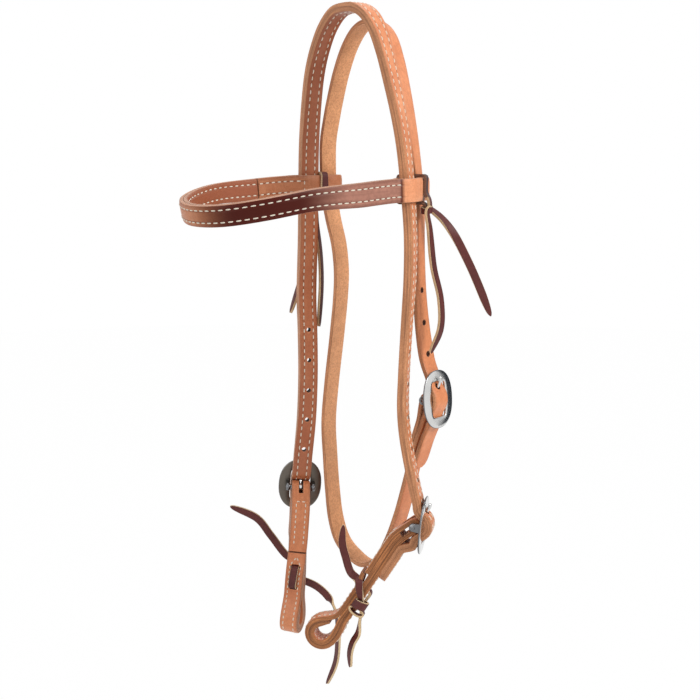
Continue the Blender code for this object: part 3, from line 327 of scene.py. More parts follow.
# Camera and studio; a lamp is placed ahead, aside and up from the target, with size and power
CAMERA_AZIMUTH = math.radians(49)
CAMERA_HEIGHT = math.radians(9.2)
CAMERA_DISTANCE = 1.06
CAMERA_TARGET = (-0.0034, -0.0039, -0.2675)
CAMERA_SENSOR = 36
CAMERA_LENS = 66.5
CAMERA_SHIFT = 0.0034
LAMPS = (("key_lamp", 0.9, 1.2, 0.7, 0.7, 17), ("fill_lamp", 1.0, -1.1, 0.3, 1.2, 6),
         ("top_lamp", -0.3, 0.0, 1.4, 0.9, 6))
WORLD_LEVEL = 0.50
FLOOR_GLOW = 0.99
FLOOR_RADIUS = 3.0
FLOOR_LEVEL = -0.66
CARD_SIZE = (0.84, 1.10)
CARD_HEADING = math.radians(79)
CARD_DISTANCE = 1.15


def smooth(share):
    """Rises from 0 to 1 with level ends."""
    share = min(max(share, 0.0), 1.0)
    return share * share * (3 - 2 * share)


def climb(value, start, run):
    """0 up to a start, 1 after a run beyond it, and smooth between."""
    return smooth((value - start) / run)


def spline(points, samples=14):
    """Catmull-Rom curve through rows of numbers; the first three of a row are its place."""
    rows = np.array(points, dtype=float)
    rows = np.vstack([2 * rows[0] - rows[1], rows, 2 * rows[-1] - rows[-2]])
    steps = np.linalg.norm(np.diff(rows[:, :3], axis=0), axis=1) ** 0.5
    knots = np.concatenate([[0], np.cumsum(steps)])
    curve = []
    for i in range(1, len(rows) - 2):
        t0, t1, t2, t3 = knots[i - 1:i + 3]
        for t in np.linspace(t1, t2, samples, endpoint=False):
            a1 = (t1 - t) / (t1 - t0) * rows[i - 1] + (t - t0) / (t1 - t0) * rows[i]
            a2 = (t2 - t) / (t2 - t1) * rows[i] + (t - t1) / (t2 - t1) * rows[i + 1]
            a3 = (t3 - t) / (t3 - t2) * rows[i + 1] + (t - t2) / (t3 - t2) * rows[i + 2]
            b1 = (t2 - t) / (t2 - t0) * a1 + (t - t0) / (t2 - t0) * a2
            b2 = (t3 - t) / (t3 - t1) * a2 + (t - t1) / (t3 - t1) * a3
            curve.append((t2 - t) / (t2 - t1) * b1 + (t - t1) / (t2 - t1) * b2)
    curve.append(rows[-2])
    return np.array(curve)


def along(curve):
    """Distance of each row from the run's start."""
    steps = np.linalg.norm(np.diff(curve[:, :3], axis=0), axis=1)
    return np.concatenate([[0], np.cumsum(steps)])


def azimuth_row(place, azimuth):
    angle = math.radians(azimuth)
    return (*place, math.cos(angle), math.sin(angle), 0.0, 1.0)


def share_rows(shares, drop, lift=0.0):
    rows = []
    for x, y, z, azimuth in shares:
        place = (x * HEAD_HALF_WIDTH, y * STRAP_PITCH, lift - z * drop)
        rows.append(azimuth_row(place, azimuth))
    return rows


def tip_rows(rows, length, blunt_share=BLUNT_SHARE):
    """Rounds off the width over the last stretch of a curve."""
    runs = along(rows)
    left = runs[-1] - runs
    for i, distance in enumerate(left):
        if distance < length:
            rise = math.sqrt(1 - (1 - distance / length) ** 2)
            rows[i][6] *= blunt_share + (1 - blunt_share) * rise
    return rows


class Station:
    """The frame of one buckle: its plate's centre, outward normal, up and width directions."""

    def __init__(self, name, centre, azimuth, lean, roll, lead, chape, hang, billet, twist=0,
                 sway=0):
        self.name = name
        self.twist = math.radians(twist)
        self.sway = math.radians(sway)
        flat = Vector((math.cos(math.radians(azimuth)), math.sin(math.radians(azimuth)), 0))
        tilt = math.radians(lean)
        self.centre = Vector(centre)
        self.up = Vector((0, 0, 1)) * math.cos(tilt) + flat * math.sin(tilt)
        self.out = flat * math.cos(tilt) - Vector((0, 0, 1)) * math.sin(tilt)
        turn = Matrix.Rotation(math.radians(roll), 3, self.out)
        self.up = turn @ self.up
        self.across = self.up.cross(self.out)
        self.lead = lead * BAR_SETBACK
        self.chape = math.radians(chape)
        self.hang = math.radians(hang)
        self.billet = billet

    def place(self, out, up, across=0.0):
        return self.centre + self.out * out + self.up * up + self.across * across

    def matrix(self):
        """Local x across, y up, z out."""
        axes = Matrix((self.across, self.up, self.out)).transposed()
        return Matrix.Translation(self.centre) @ axes.to_4x4()

    def bend(self, run):
        """Angle of the folded strap from the plate's down direction, at a run below the bar."""
        blend = smooth((run - CHAPE_STRAIGHT) / CHAPE_BEND)
        sway = self.sway * smooth((run - SWAY_START) / SWAY_RUN)
        return self.chape + (self.hang - self.chape) * blend + sway

    def spine(self, run, offset=0.0):
        """Point (out, up) at a run below the bar along the folded strap's middle line."""
        out, up = -BAR_SETBACK, 0.0
        steps = max(int(run / SPINE_STEP), 1)
        for i in range(steps):
            angle = self.bend(run * (i + 0.5) / steps)
            out -= math.sin(angle) * run / steps
            up -= math.cos(angle) * run / steps
        angle = self.bend(run)
        return out + offset * math.cos(angle), up - offset * math.sin(angle)

    def axes(self, run):
        """Outward, up and width directions of the twisted fold at a run below the bar."""
        angle = self.bend(run)
        square = self.out * math.cos(angle) - self.up * math.sin(angle)
        turn = self.twist * smooth((run - TWIST_START) / TWIST_RUN)
        outward = square * math.cos(turn) + self.across * math.sin(turn)
        across = self.across * math.cos(turn) - square * math.sin(turn)
        return outward, outward.cross(across), across

    def turned_row(self, run, offset, ways=1):
        """A row at a run below the bar, offset square to the middle line."""
        middle = self.place(*self.spine(run))
        outward, _, across = self.axes(run)
        return (*(middle + outward * offset), *(across * ways), 1.0)

    def crest(self):
        """How far the billet's middle stands out where it passes over the bar."""
        return (-BAR_SETBACK + FOLD_RADIUS + BIT_PLY / 2 + CLEARANCE + self.billet / 2
                + BILLET_SLACK)

    def trough(self):
        """Where the billet's middle runs behind the plate."""
        return -PLATE_FACE - CLEARANCE - self.billet / 2 - BILLET_SINK * self.billet

    def wave(self, count=4):
        """The billet's S from its crest over the bar to its trough behind the plate's end."""
        rise = self.crest() - self.trough()
        length = WINDOW_TOP + PLATE_THICKNESS
        turn = 2 * math.atan(rise / length)
        radius = length / 2 / math.sin(turn)
        points = []
        for i in range(count):
            angle = turn * i / count
            points.append((self.crest() - radius * (1 - math.cos(angle)),
                           radius * math.sin(angle)))
        for i in range(count, -1, -1):
            angle = turn * i / count
            points.append((self.trough() + radius * (1 - math.cos(angle)),
                           length - radius * math.sin(angle)))
        return points


def stations():
    off = Station("off", (-1.254 * HEAD_HALF_WIDTH, 0.07 * STRAP_PITCH, -1.001 * CHEEK_DROP),
                  azimuth=145, lean=-8.5, roll=4, lead=-1.0, chape=48, hang=6,
                  billet=CROWN_THICKNESS, twist=OFF_TWIST)
    near = Station("near", (1.157 * HEAD_HALF_WIDTH, 0.535 * STRAP_PITCH, -1.015 * CHEEK_DROP),
                   azimuth=36, lean=5.5, roll=0, lead=-1.6, chape=48, hang=26.5,
                   billet=CROWN_THICKNESS, sway=NEAR_SWAY)
    throat = Station("throat", (1.082 * HEAD_HALF_WIDTH, 1.568 * STRAP_PITCH,
                                -0.672 * THROAT_DROP),
                     azimuth=8, lean=-4, roll=0, lead=-1.3, chape=27, hang=24, billet=THROAT_PLY)
    return off, near, throat


def billet_rows(station, tip_run, tip_offset, ways=1):
    """Rows of the strap through a buckle, from above the plate to the strap's tip below it.

    The width direction is the buckle's own, turned round for the off side by ways.
    """
    wave = station.wave()
    local = [(station.lead, LEAD_SHARE * PLATE_HEIGHT)]
    local += list(reversed(wave))
    local += [(out, -up) for out, up in wave[1:]]
    trough_run = WINDOW_TOP + PLATE_THICKNESS
    side = station.across * ways
    rows = [(*station.place(*spot), *side, 1.0) for spot in local]
    for share in TIP_RUN_SHARES:
        run = trough_run + (tip_run - trough_run) * share
        rows.append(station.turned_row(run, tip_offset, ways))
    return rows


def taper(curve, length):
    """Rounds off both ends of a strap's run."""
    curve = tip_rows(curve, length)
    return tip_rows(curve[::-1], length)[::-1]


def crossing(station, curve):
    """Distance along a run at which the tongue's middle line passes through it."""
    root, aim = tongue_line()
    best = None
    for i, row in enumerate(curve):
        place = Vector(row[:3]) - station.centre
        out, up = place.dot(station.out), place.dot(station.up)
        if abs(place.dot(station.across)) > STRAP_WIDTH or not FOLD_RADIUS < up < WINDOW_TOP:
            continue
        miss = abs((out - root[0]) * (aim[1] - root[1]) - (up - root[1]) * (aim[0] - root[0]))
        if best is None or miss < best[0]:
            best = (miss, i)
    return along(curve)[best[1]]


def tongue_line():
    """The tongue's root on the bar and the point where it reaches the plate, as (out, up)."""
    return (-BAR_SETBACK, 0.0), (PLATE_FACE + 2 * CLEARANCE + TONGUE_RADIUS, WINDOW_TOP)


def hole_places(curve, station, step, count):
    """Places of a billet's holes: the tongue's own, then more of them up the strap."""
    start = crossing(station, curve)
    root, aim = tongue_line()
    middle = math.atan2(aim[0] - root[0], aim[1] - root[1]) + TONGUE_LIFT / 2
    direction = station.out * math.sin(middle) + station.up * math.cos(middle)
    free = [start + step * (HOLE_LIFT + (HOLE_PITCH + HOLE_SPREAD) * i)
            for i in range(1, count + 1)]
    return [start] + free, [direction] + [None] * count


def throat_chape_rows(station):
    """The throatlatch's folded end: up the return leaf, round the bar and down the outer leaf."""
    local = []
    radius = BAR_RADIUS + CLEARANCE + THROAT_PLY / 2
    closed = radius - THROAT_PLY - SEAM_GAP
    for share in reversed(RETURN_SHARES):
        run = THROAT_RETURN * share
        offset = -radius + (radius + closed) * smooth(run / (THROAT_RETURN / 2))
        local.append(station.spine(run, offset))
    for i in range(7):
        angle = math.pi * i / 6 + station.chape
        local.append((-BAR_SETBACK - radius * math.cos(angle), radius * math.sin(angle)))
    for share in RETURN_SHARES:
        local.append(station.spine(THROAT_RETURN * share, radius))
    return [(*station.place(*spot), *station.across, 1.0) for spot in local]


class BitEnd:
    """The folded strap below a cheek buckle, as rows about its middle line.

    A row's place is a distance below the bar and a distance square to the middle line. The
    whole fold turns about that line by its twist, between the buckle and the loop.
    """

    def __init__(self, station, length, opening, lift):
        self.station = station
        self.opening = opening
        self.lift = lift
        self.ring = opening / 2 + BIT_LINING / 2
        self.bottom = length - BIT_PLY - SEAM_GAP - BIT_LINING - opening / 2
        self.throat = length - BIT_LOOP_LENGTH - opening / 3

    def spread(self, run):
        return smooth((run - self.throat) / (self.bottom - self.throat))

    def wall(self, run, side, base):
        """A row of a leaf on one side, at a distance square to the lining's middle line."""
        step = (self.bottom - self.throat) / WALL_STEPS
        rise = self.ring * (self.spread(run + step) - self.spread(run - step))
        lean = math.atan2(rise, 2 * step)
        offset = self.ring * self.spread(run) + base * math.cos(lean)
        return self.station.turned_row(run - base * math.sin(lean), side * offset)

    def round_bottom(self, radius, count):
        rows = []
        for i in range(1, count):
            angle = math.pi * i / count
            run = self.bottom + radius * math.sin(angle)
            rows.append(self.station.turned_row(run, radius * math.cos(angle)))
        return rows

    def fold_rows(self, radius, count=8):
        """The fold round the bar."""
        station = self.station
        rows = []
        for i in range(count + 1):
            angle = math.pi * i / count + station.chape
            spot = station.place(-BAR_SETBACK - radius * math.cos(angle),
                                 radius * math.sin(angle))
            rows.append((*spot, *station.across, 1.0))
        return rows


class Browband:
    """The browband's plan line with its two plies, and the loops at its ends."""

    def __init__(self):
        rows = [(x * HEAD_HALF_WIDTH, y * BROW_DEPTH, 0.0) for x, y in BROW_PLAN_SHARES]
        self.line = spline(rows)
        self.runs = along(self.line)
        self.length = self.runs[-1]
        self.seam = (BROW_PLY + SEAM_GAP) / 2
        self.open = CROWN_THICKNESS / 2 + BROW_PLY / 2 + LOOP_ROOM

    def level(self, y):
        return -BROW_DROP - BROW_DIP * (min(y, 0.0) / BROW_DEPTH) ** 2

    def gap(self, run):
        """Half the distance between the plies' middles at a run from the line's start."""
        left = min(run, self.length - run)
        return self.seam + (self.open - self.seam) * (1 - smooth((left - LOOP_LENGTH) / LOOP_CLOSE))

    def row(self, run, side, extra=0.0):
        """A row on the outer (side 1) or inner (side -1) ply."""
        x, y = (float(np.interp(run, self.runs, self.line[:, k])) for k in (0, 1))
        step = self.length / 400
        ahead = [float(np.interp(run + step, self.runs, self.line[:, k])) for k in (0, 1)]
        behind = [float(np.interp(run - step, self.runs, self.line[:, k])) for k in (0, 1)]
        heading = Vector((ahead[0] - behind[0], ahead[1] - behind[1], 0)).normalized()
        outward = Vector((heading.y, -heading.x, 0))
        tilt = BROW_TILT * (min(y, 0.0) / BROW_DEPTH) ** 2
        up = Vector((0, 0, 1)) * math.cos(tilt) + outward * math.sin(tilt)
        face = outward * math.cos(tilt) - Vector((0, 0, 1)) * math.sin(tilt)
        place = Vector((x, y, self.level(y))) + face * (side * self.gap(run) + extra)
        return place, up, heading, face


def plain_row(data):
    place, up = data[:2]
    return (*place, *up, 1.0)


def mix(first, second, share):
    return (Vector(first) * (1 - share) + Vector(second) * share).normalized()


def corner_arc(out, rise, start, radius):
    """Quarter of a circle about an edge of the browband, as (out, rise)."""
    return [(out + radius * math.cos(start + math.pi / 2 * i / 3),
             rise + radius * math.sin(start + math.pi / 2 * i / 3)) for i in range(4)]


def tail_rows(base, axes, shares, length):
    """Rows of a hanging tail; shares are along the three axes and how far it turns."""
    out, rise, along_axis = axes
    rows = []
    for a, b, c, twist in shares:
        spot = base + (out * a + rise * b + along_axis * c) * length
        rows.append((*spot, *mix(along_axis, rise, twist), 1.0))
    return rows


def browband_tie_rows(plan, run, first_tail, second_tail):
    """A thong wound once round a browband loop, gathered where it goes between the straps.

    Tail points are shares of the tail's length outward, up and along the browband.
    """
    place, _, heading, face = plan.row(run, 0)
    up = Vector((0, 0, 1))
    edge = plan.open + BROW_PLY / 2
    top = BROW_WIDTH / 2
    bend = CLEARANCE + THONG_THICKNESS / 2
    wide = edge + bend
    lift = THONG_THICKNESS + 2 * CLEARANCE
    ring = [(wide + lift * out, -top + lift * rise, 1.0) for out, rise in HITCH_SHARES]
    ring += [(*spot, TURN_WIDTH_SHARE) for spot in corner_arc(edge, top, 0.0, bend)]
    ring += [(edge * share, top + bend, GATHER) for share in GATHER_SHARES]
    ring += [(*spot, TURN_WIDTH_SHARE) for spot in corner_arc(-edge, top, math.pi / 2, bend)]
    ring += [(-wide, 0, 1.0)]
    ring += [(*spot, TURN_WIDTH_SHARE) for spot in corner_arc(-edge, -top, math.pi, bend)]
    ring += [(-edge * share, -top - bend, GATHER) for share in GATHER_SHARES]
    drop = top + bend + THONG_THICKNESS
    foot = corner_arc(wide - THONG_THICKNESS, -drop, 0.0, THONG_THICKNESS)
    ring += [(*spot, TURN_WIDTH_SHARE) for spot in reversed(foot)]
    axes = (face, up, heading)
    rows = tail_rows(place, axes, first_tail, TIE_TAIL)[::-1]
    rows += [(*(place + face * out + up * rise), *heading, share) for out, rise, share in ring]
    rows += tail_rows(place, axes, second_tail, TIE_TAIL)
    return rows


def bit_tie_rows(plan, side, slots, first_tail, second_tail):
    """A thong laced through a bit end's slots, its band lying on one side of the bit end.

    side is 1 for a band on the outer face, -1 on the inner one. With one slot the second
    tail hangs from the band, with two it comes back through the lower slot.
    """
    station = plan.station
    turn = LACE_TURN_SHARE * THONG_THICKNESS
    runs = [LACE_FIRST, LACE_FIRST + LACE_PITCH]
    axes = (station.out, station.up, station.across)

    def banded(run, share):
        return station.turned_row(run, share * LACE_STAND)

    def start(run, share):
        return Vector(banded(run, share)[:3])

    through = (1 - turn / LACE_STAND) * LACE_THROUGH_SHARE
    rows = tail_rows(start(runs[0], -side), axes, first_tail, BIT_TAIL)[::-1]
    rows += [banded(runs[0], side * share) for share in (-through, 0.0, through)]
    rows += [banded(run, side) for run in (runs[0] + turn, (runs[0] + runs[1]) / 2)]
    if slots == 2:
        rows.append(banded(runs[1] - turn, side))
        rows += [banded(runs[1], side * share) for share in (through, 0.0, -through)]
        rows += tail_rows(start(runs[1], -side), axes, second_tail, BIT_TAIL)
    else:
        rows += tail_rows(start(runs[1] - turn, side), axes, second_tail, BIT_TAIL)
    return rows


class Run:
    """A strap's middle line with its directions, read at any distance from its start."""

    def __init__(self, rows, step=RUN_STEP):
        rows = np.array(rows, dtype=float)
        if rows.shape[1] < 8:
            rows = np.hstack([rows, np.ones((len(rows), 1))])
        moved = np.linalg.norm(np.diff(rows[:, :3], axis=0), axis=1)
        rows = rows[np.concatenate([[True], moved > TINY])]
        gone = along(rows)
        self.length = gone[-1]
        self.runs = np.linspace(0, self.length, max(int(self.length / step), 8) + 1)
        self.rows = np.stack([np.interp(self.runs, gone, rows[:, k]) for k in range(8)], 1)
        self.place = self.rows[:, :3]
        tangent = np.gradient(self.place, axis=0)
        self.tangent = unit(tangent)
        width = self.rows[:, 3:6]
        width = width - self.tangent * np.sum(width * self.tangent, axis=1, keepdims=True)
        self.width = unit(width)
        self.out = np.cross(self.tangent, self.width)

    def read(self, table, runs):
        return np.stack([np.interp(runs, self.runs, table[:, k]) for k in range(3)], -1)

    def at(self, runs, across, lift):
        """Points at distances along the run, across it and out from it."""
        runs = np.asarray(runs, dtype=float)
        across = np.broadcast_to(across, runs.shape)[..., None]
        lift = np.broadcast_to(lift, runs.shape)[..., None]
        return (self.read(self.place, runs) + self.read(self.width, runs) * across
                + self.read(self.out, runs) * lift)

    def outward(self, runs):
        return unit(self.read(self.out, np.asarray(runs, dtype=float)))


def unit(table):
    return table / np.linalg.norm(table, axis=-1, keepdims=True)


def section(half, thickness, inset=None, roll=0.0, ease=CORNER):
    """Points round a strap's section: x, z, the kind of face that starts there, groove depth."""
    top = thickness / 2
    ease = min(ease, top * 0.9)
    under = min(ease, FLESH_EASE)
    if inset:
        seat = half - inset
        steps = [(seat + GROOVE, 0.0), (seat + GROOVE / 2, 0.6), (seat, 1.0),
                 (seat - GROOVE / 2, 0.6), (seat - GROOVE, 0.0), (seat / 2, 0.0)]
    else:
        seat = half * 0.75
        steps = [(seat, 0.0), (half * 0.45, 0.0)]

    def height(x):
        past = smooth((x - seat) / (half - seat))
        return top - roll * past

    rim = height(half - ease)
    ring = [(-half, rim - ease, EDGE, 0), (-half + ease * 0.29, rim - ease * 0.29, GRAIN, 0),
            (-half + ease, rim, GRAIN, 0)]
    ring += [(-x, height(x), GRAIN, dip) for x, dip in steps]
    ring += [(0.0, height(0.0), GRAIN, 0)]
    ring += [(x, height(x), GRAIN, dip) for x, dip in reversed(steps)]
    ring += [(half - ease, rim, GRAIN, 0), (half - ease * 0.29, rim - ease * 0.29, EDGE, 0),
             (half, rim - ease, EDGE, 0), (half, (rim - top) / 2, EDGE, 0),
             (half, under - top, EDGE, 0), (half - under, -top, FLESH, 0)]
    ring += [(x, -top, FLESH, 0) for x in (half * 0.5, 0.0, -half * 0.5)]
    ring += [(under - half, -top, EDGE, 0), (-half, under - top, EDGE, 0),
             (-half, (rim - top) / 2, EDGE, 0)]
    return ring


def ribbon(name, run, ring, lift, side, looks, tone=None, groove=None):
    """A strap swept along its run; side is the way its grain faces."""
    xs, zs, kinds, dips = (np.array([p[i] for p in ring]) for i in range(4))
    count, sides = len(run.runs), len(ring)
    share, thick = run.rows[:, 6][:, None], run.rows[:, 7][:, None]
    wear_and_sheen = np.ones(count) if groove is None else np.array([groove(r) for r in run.runs])
    depth = dips[None, :] * GROOVE_DEPTH * wear_and_sheen[:, None]
    x = (xs[None, :] * share)[..., None]
    z = ((zs[None, :] * thick - depth) * side + lift)[..., None]
    verts = run.place[:, None] + run.width[:, None] * x + run.out[:, None] * z
    steps = np.hypot(np.diff(xs, append=xs[0]), np.diff(zs, append=zs[0]))
    arcs = np.concatenate([[0], np.cumsum(steps)])
    faces, slots, uvs = [], [], []
    for i in range(count - 1):
        low, high = run.runs[i], run.runs[i + 1]
        for k in range(sides):
            a, b = i * sides + k, i * sides + (k + 1) % sides
            faces.append((a, b, b + sides, a + sides))
            slots.append(kinds[k])
            uvs += [(arcs[k], low), (arcs[k + 1], low), (arcs[k + 1], high), (arcs[k], high)]
    for ends in (range(sides), range((count - 1) * sides, count * sides)):
        faces.append(tuple(ends))
        slots.append(EDGE)
        uvs += list(zip(xs, zs))
    mesh = skin(name, verts.reshape(-1, 3).tolist(), faces, slots, looks)
    mesh.uv_layers.new(name="strap").data.foreach_set("uv", np.array(uvs, np.float32).ravel())
    tones = np.zeros(count) if tone is None else np.array([tone(r) for r in run.runs])
    paint(mesh, "tone", np.repeat(tones, sides))
    rims, seams = (1, 2, sides - 12, sides - 11), (sides - 2, sides - 3, sides - 7, sides - 8)
    wear = np.array([dips[k] + RIM_WEAR * (k in rims) + (k in seams) for k in range(sides)])
    paint(mesh, "wear", (wear_and_sheen[:, None] * wear[None, :]).ravel())
    return tidied(name, mesh, SMOOTH_ANGLE)


def paint(mesh, name, values):
    """Keeps one value for each corner point, for the looks to read."""
    layer = mesh.attributes.new(name, "FLOAT", "POINT")
    layer.data.foreach_set("value", values.astype(np.float32))


def skin(name, verts, faces, slots, looks):
    """A mesh with the number of each face's look."""
    mesh = bpy.data.meshes.new(name)
    mesh.from_pydata(verts, [], faces)
    mesh.polygons.foreach_set("material_index", slots)
    for look in looks:
        mesh.materials.append(look)
    return mesh


def tidied(name, mesh, angle):
    """A piece whose faces look outward and are smooth up to an angle."""
    work = bmesh.new()
    work.from_mesh(mesh)
    bmesh.ops.recalc_face_normals(work, faces=work.faces)
    work.to_mesh(mesh)
    work.free()
    mesh.shade_smooth()
    mesh.set_sharp_from_angle(angle=angle)
    return add_piece(name, mesh)


def made(name, work, looks):
    """A piece from mesh work that is done."""
    mesh = bpy.data.meshes.new(name)
    work.to_mesh(mesh)
    work.free()
    for look in looks:
        mesh.materials.append(look)
    return add_piece(name, mesh)


def turns(count):
    return 2 * math.pi * np.arange(count) / count


def loft(work, rings, closed=False):
    """Skins rings of places one after the other, closed on itself or with a cap at each end."""
    rings = [[work.verts.new(spot) for spot in ring] for ring in rings]
    for one, two in zip(rings, rings[1:] + rings[:1] if closed else rings[1:]):
        for k in range(len(one)):
            after = (k + 1) % len(one)
            work.faces.new((one[k], one[after], two[after], two[k]))
    if not closed:
        work.faces.new(rings[0])
        work.faces.new(rings[-1])


def add_piece(name, mesh):
    piece = bpy.data.objects.new(name, mesh)
    bpy.context.scene.collection.objects.link(piece)
    return piece


def settle(piece, body, nodes=()):
    """Rides a piece on its body, in place of its solids."""
    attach(piece, body)
    if nodes:
        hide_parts(*nodes)


def carve(piece, cutters):
    """Cuts shapes out of a piece for good."""
    bpy.context.view_layer.update()
    for cutter in cutters:
        modifier = piece.modifiers.new("cut", "BOOLEAN")
        modifier.operation = "DIFFERENCE"
        modifier.solver = "EXACT"
        modifier.material_mode = "TRANSFER"
        modifier.object = cutter
    graph = bpy.context.evaluated_depsgraph_get()
    graph.update()
    mesh = bpy.data.meshes.new_from_object(piece.evaluated_get(graph), depsgraph=graph)
    piece.modifiers.clear()
    piece.data = mesh
    mesh.set_sharp_from_angle(angle=SMOOTH_ANGLE)


def drop(objects):
    for thing in objects:
        bpy.data.objects.remove(thing, do_unlink=True)


def tubes(name, tracks, sides, looks):
    """One mesh of many closed tubes; a track is points, side directions, radii and look."""
    verts, faces, slots = [], [], []
    for points, normals, radii, look in tracks:
        start, count = len(verts), len(points)
        seconds = np.cross(unit(np.gradient(points, axis=0)), normals)
        for p, n, m, r in zip(points, normals, seconds, radii):
            verts += [tuple(p + (n * math.sin(a) + m * math.cos(a)) * r) for a in turns(sides)]
        for i in range(count - 1):
            for k in range(sides):
                a = start + i * sides + k
                b = start + i * sides + (k + 1) % sides
                faces.append((a, b, b + sides, a + sides))
        faces.append(tuple(range(start, start + sides)))
        faces.append(tuple(range(start + (count - 1) * sides, start + count * sides)))
        slots += [look] * ((count - 1) * sides + 2)
    return tidied(name, skin(name, verts, faces, slots, looks), TUBE_ANGLE)


def sew(name, tracks, looks, body):
    settle(tubes(name, tracks, THREAD_SIDES, looks["thread"]), body)


def stitches(run, path, pitch, length, side, surface):
    """Tracks of a row of stitches and their awl holes, marked by dark painted shade, along a path of
    (run, across).
    """
    path = np.array(path, dtype=float)
    gone = along(path)
    count = max(int(round(gone[-1] / pitch)), 1)
    pitch = gone[-1] / count
    shares = np.linspace(0, 1, 7)
    rise = np.sin(math.pi * shares) ** 0.6
    radii = THREAD_RADIUS * np.sqrt(np.maximum(1 - np.abs(2 * shares - 1) ** 5, 0.12))
    arch = surface - THREAD_SINK + (THREAD_SINK + THREAD_RISE) * rise
    tracks = []

    def add_track(spots, lift, sizes, look):
        runs, across = (np.interp(spots, gone, path[:, k]) for k in (0, 1))
        normals = run.outward(runs) * side
        tracks.append((run.at(runs, across, side * lift), normals, sizes, look))

    for i in range(count):
        spots = (i + 0.5) * pitch + (shares - 0.5) * length
        add_track(spots, arch, radii, 0)
        # Each end of a stitch gets a dark mark, painted shade for its awl hole
        for end, way in ((0, -1), (-1, 1)):
            add_track(spots[end] + way * AWL_LENGTH * np.array([0, 0.5, 1]),
                      surface - AWL_RADIUS * AWL_SINK_SHARE, AWL_RADIUS * AWL_SHAPE, 1)
    return tracks


def row_pair(start, end, across, tip_first=0.0, tip_last=0.0):
    """Two rows of stitches along a strap, joined by an arc round a tip."""
    paths = []
    for x in (-across, across):
        paths.append([(start + tip_first, x), (end - tip_last, x)])
    for spot, tip, way in ((start, tip_first, -1), (end, tip_last, 1)):
        if tip:
            base = spot - way * tip
            paths.append([(base + way * (tip - STITCH_INSET * 0.7) * math.sin(a),
                           -across * math.cos(a))
                          for a in np.linspace(0.12, math.pi - 0.12, 13)])
    return paths


class Nodes:
    """Shorthand for the node tree of a material or of the world."""

    def __init__(self, owner):
        self.owner = owner
        owner.use_nodes = True
        self.tree = owner.node_tree
        self.shader = self.tree.nodes.get("Principled BSDF")

    def add(self, kind, inputs=None, **settings):
        node = self.tree.nodes.new(kind)
        for key, value in settings.items():
            setattr(node, key, value)
        for key, value in (inputs or {}).items():
            if isinstance(value, bpy.types.NodeSocket):
                self.tree.links.new(value, node.inputs[key])
            else:
                node.inputs[key].default_value = value
        return node

    def link(self, **sockets):
        for name, socket in sockets.items():
            self.tree.links.new(socket, self.shader.inputs[name.replace("_", " ")])

    def set(self, values):
        """Values that are the same all over the surface."""
        for name, value in values.items():
            self.shader.inputs[name].default_value = value

    def noise(self, scale, detail=4.0, rough=0.6, vector=None):
        inputs = {"Scale": scale, "Detail": detail, "Roughness": rough}
        inputs["Vector"] = vector or self.place()
        return self.add("ShaderNodeTexNoise", inputs).outputs["Fac"]

    def place(self):
        return self.add("ShaderNodeTexCoord").outputs["Object"]

    def stretched(self, vector, scale):
        return self.add("ShaderNodeMapping", {"Vector": vector, "Scale": scale}).outputs["Vector"]

    def strap(self, across, run):
        """Coordinates of the strap's own surface, stretched."""
        uv = self.add("ShaderNodeUVMap", uv_map="strap").outputs["UV"]
        return self.stretched(uv, (across, run, 1))

    def ramp(self, value, low, high):
        node = self.add("ShaderNodeMapRange", {"Value": value, "From Min": low, "From Max": high})
        return node.outputs["Result"]

    def mix(self, share, first, second):
        pair = [(*value, 1) if isinstance(value, tuple) else value for value in (first, second)]
        inputs = {0: share, 6: pair[0], 7: pair[1]}
        return self.add("ShaderNodeMix", inputs, data_type="RGBA").outputs[2]

    def bump(self, height, strength, distance, under=None):
        inputs = {"Height": height, "Strength": strength, "Distance": distance}
        if under:
            inputs["Normal"] = under
        return self.add("ShaderNodeBump", inputs).outputs["Normal"]

    def tone(self, name="tone"):
        return self.add("ShaderNodeAttribute", attribute_name=name).outputs["Fac"]


def new_look(name):
    return Nodes(bpy.data.materials.new(name))


def shade(colour, share):
    return tuple(share * c for c in colour)


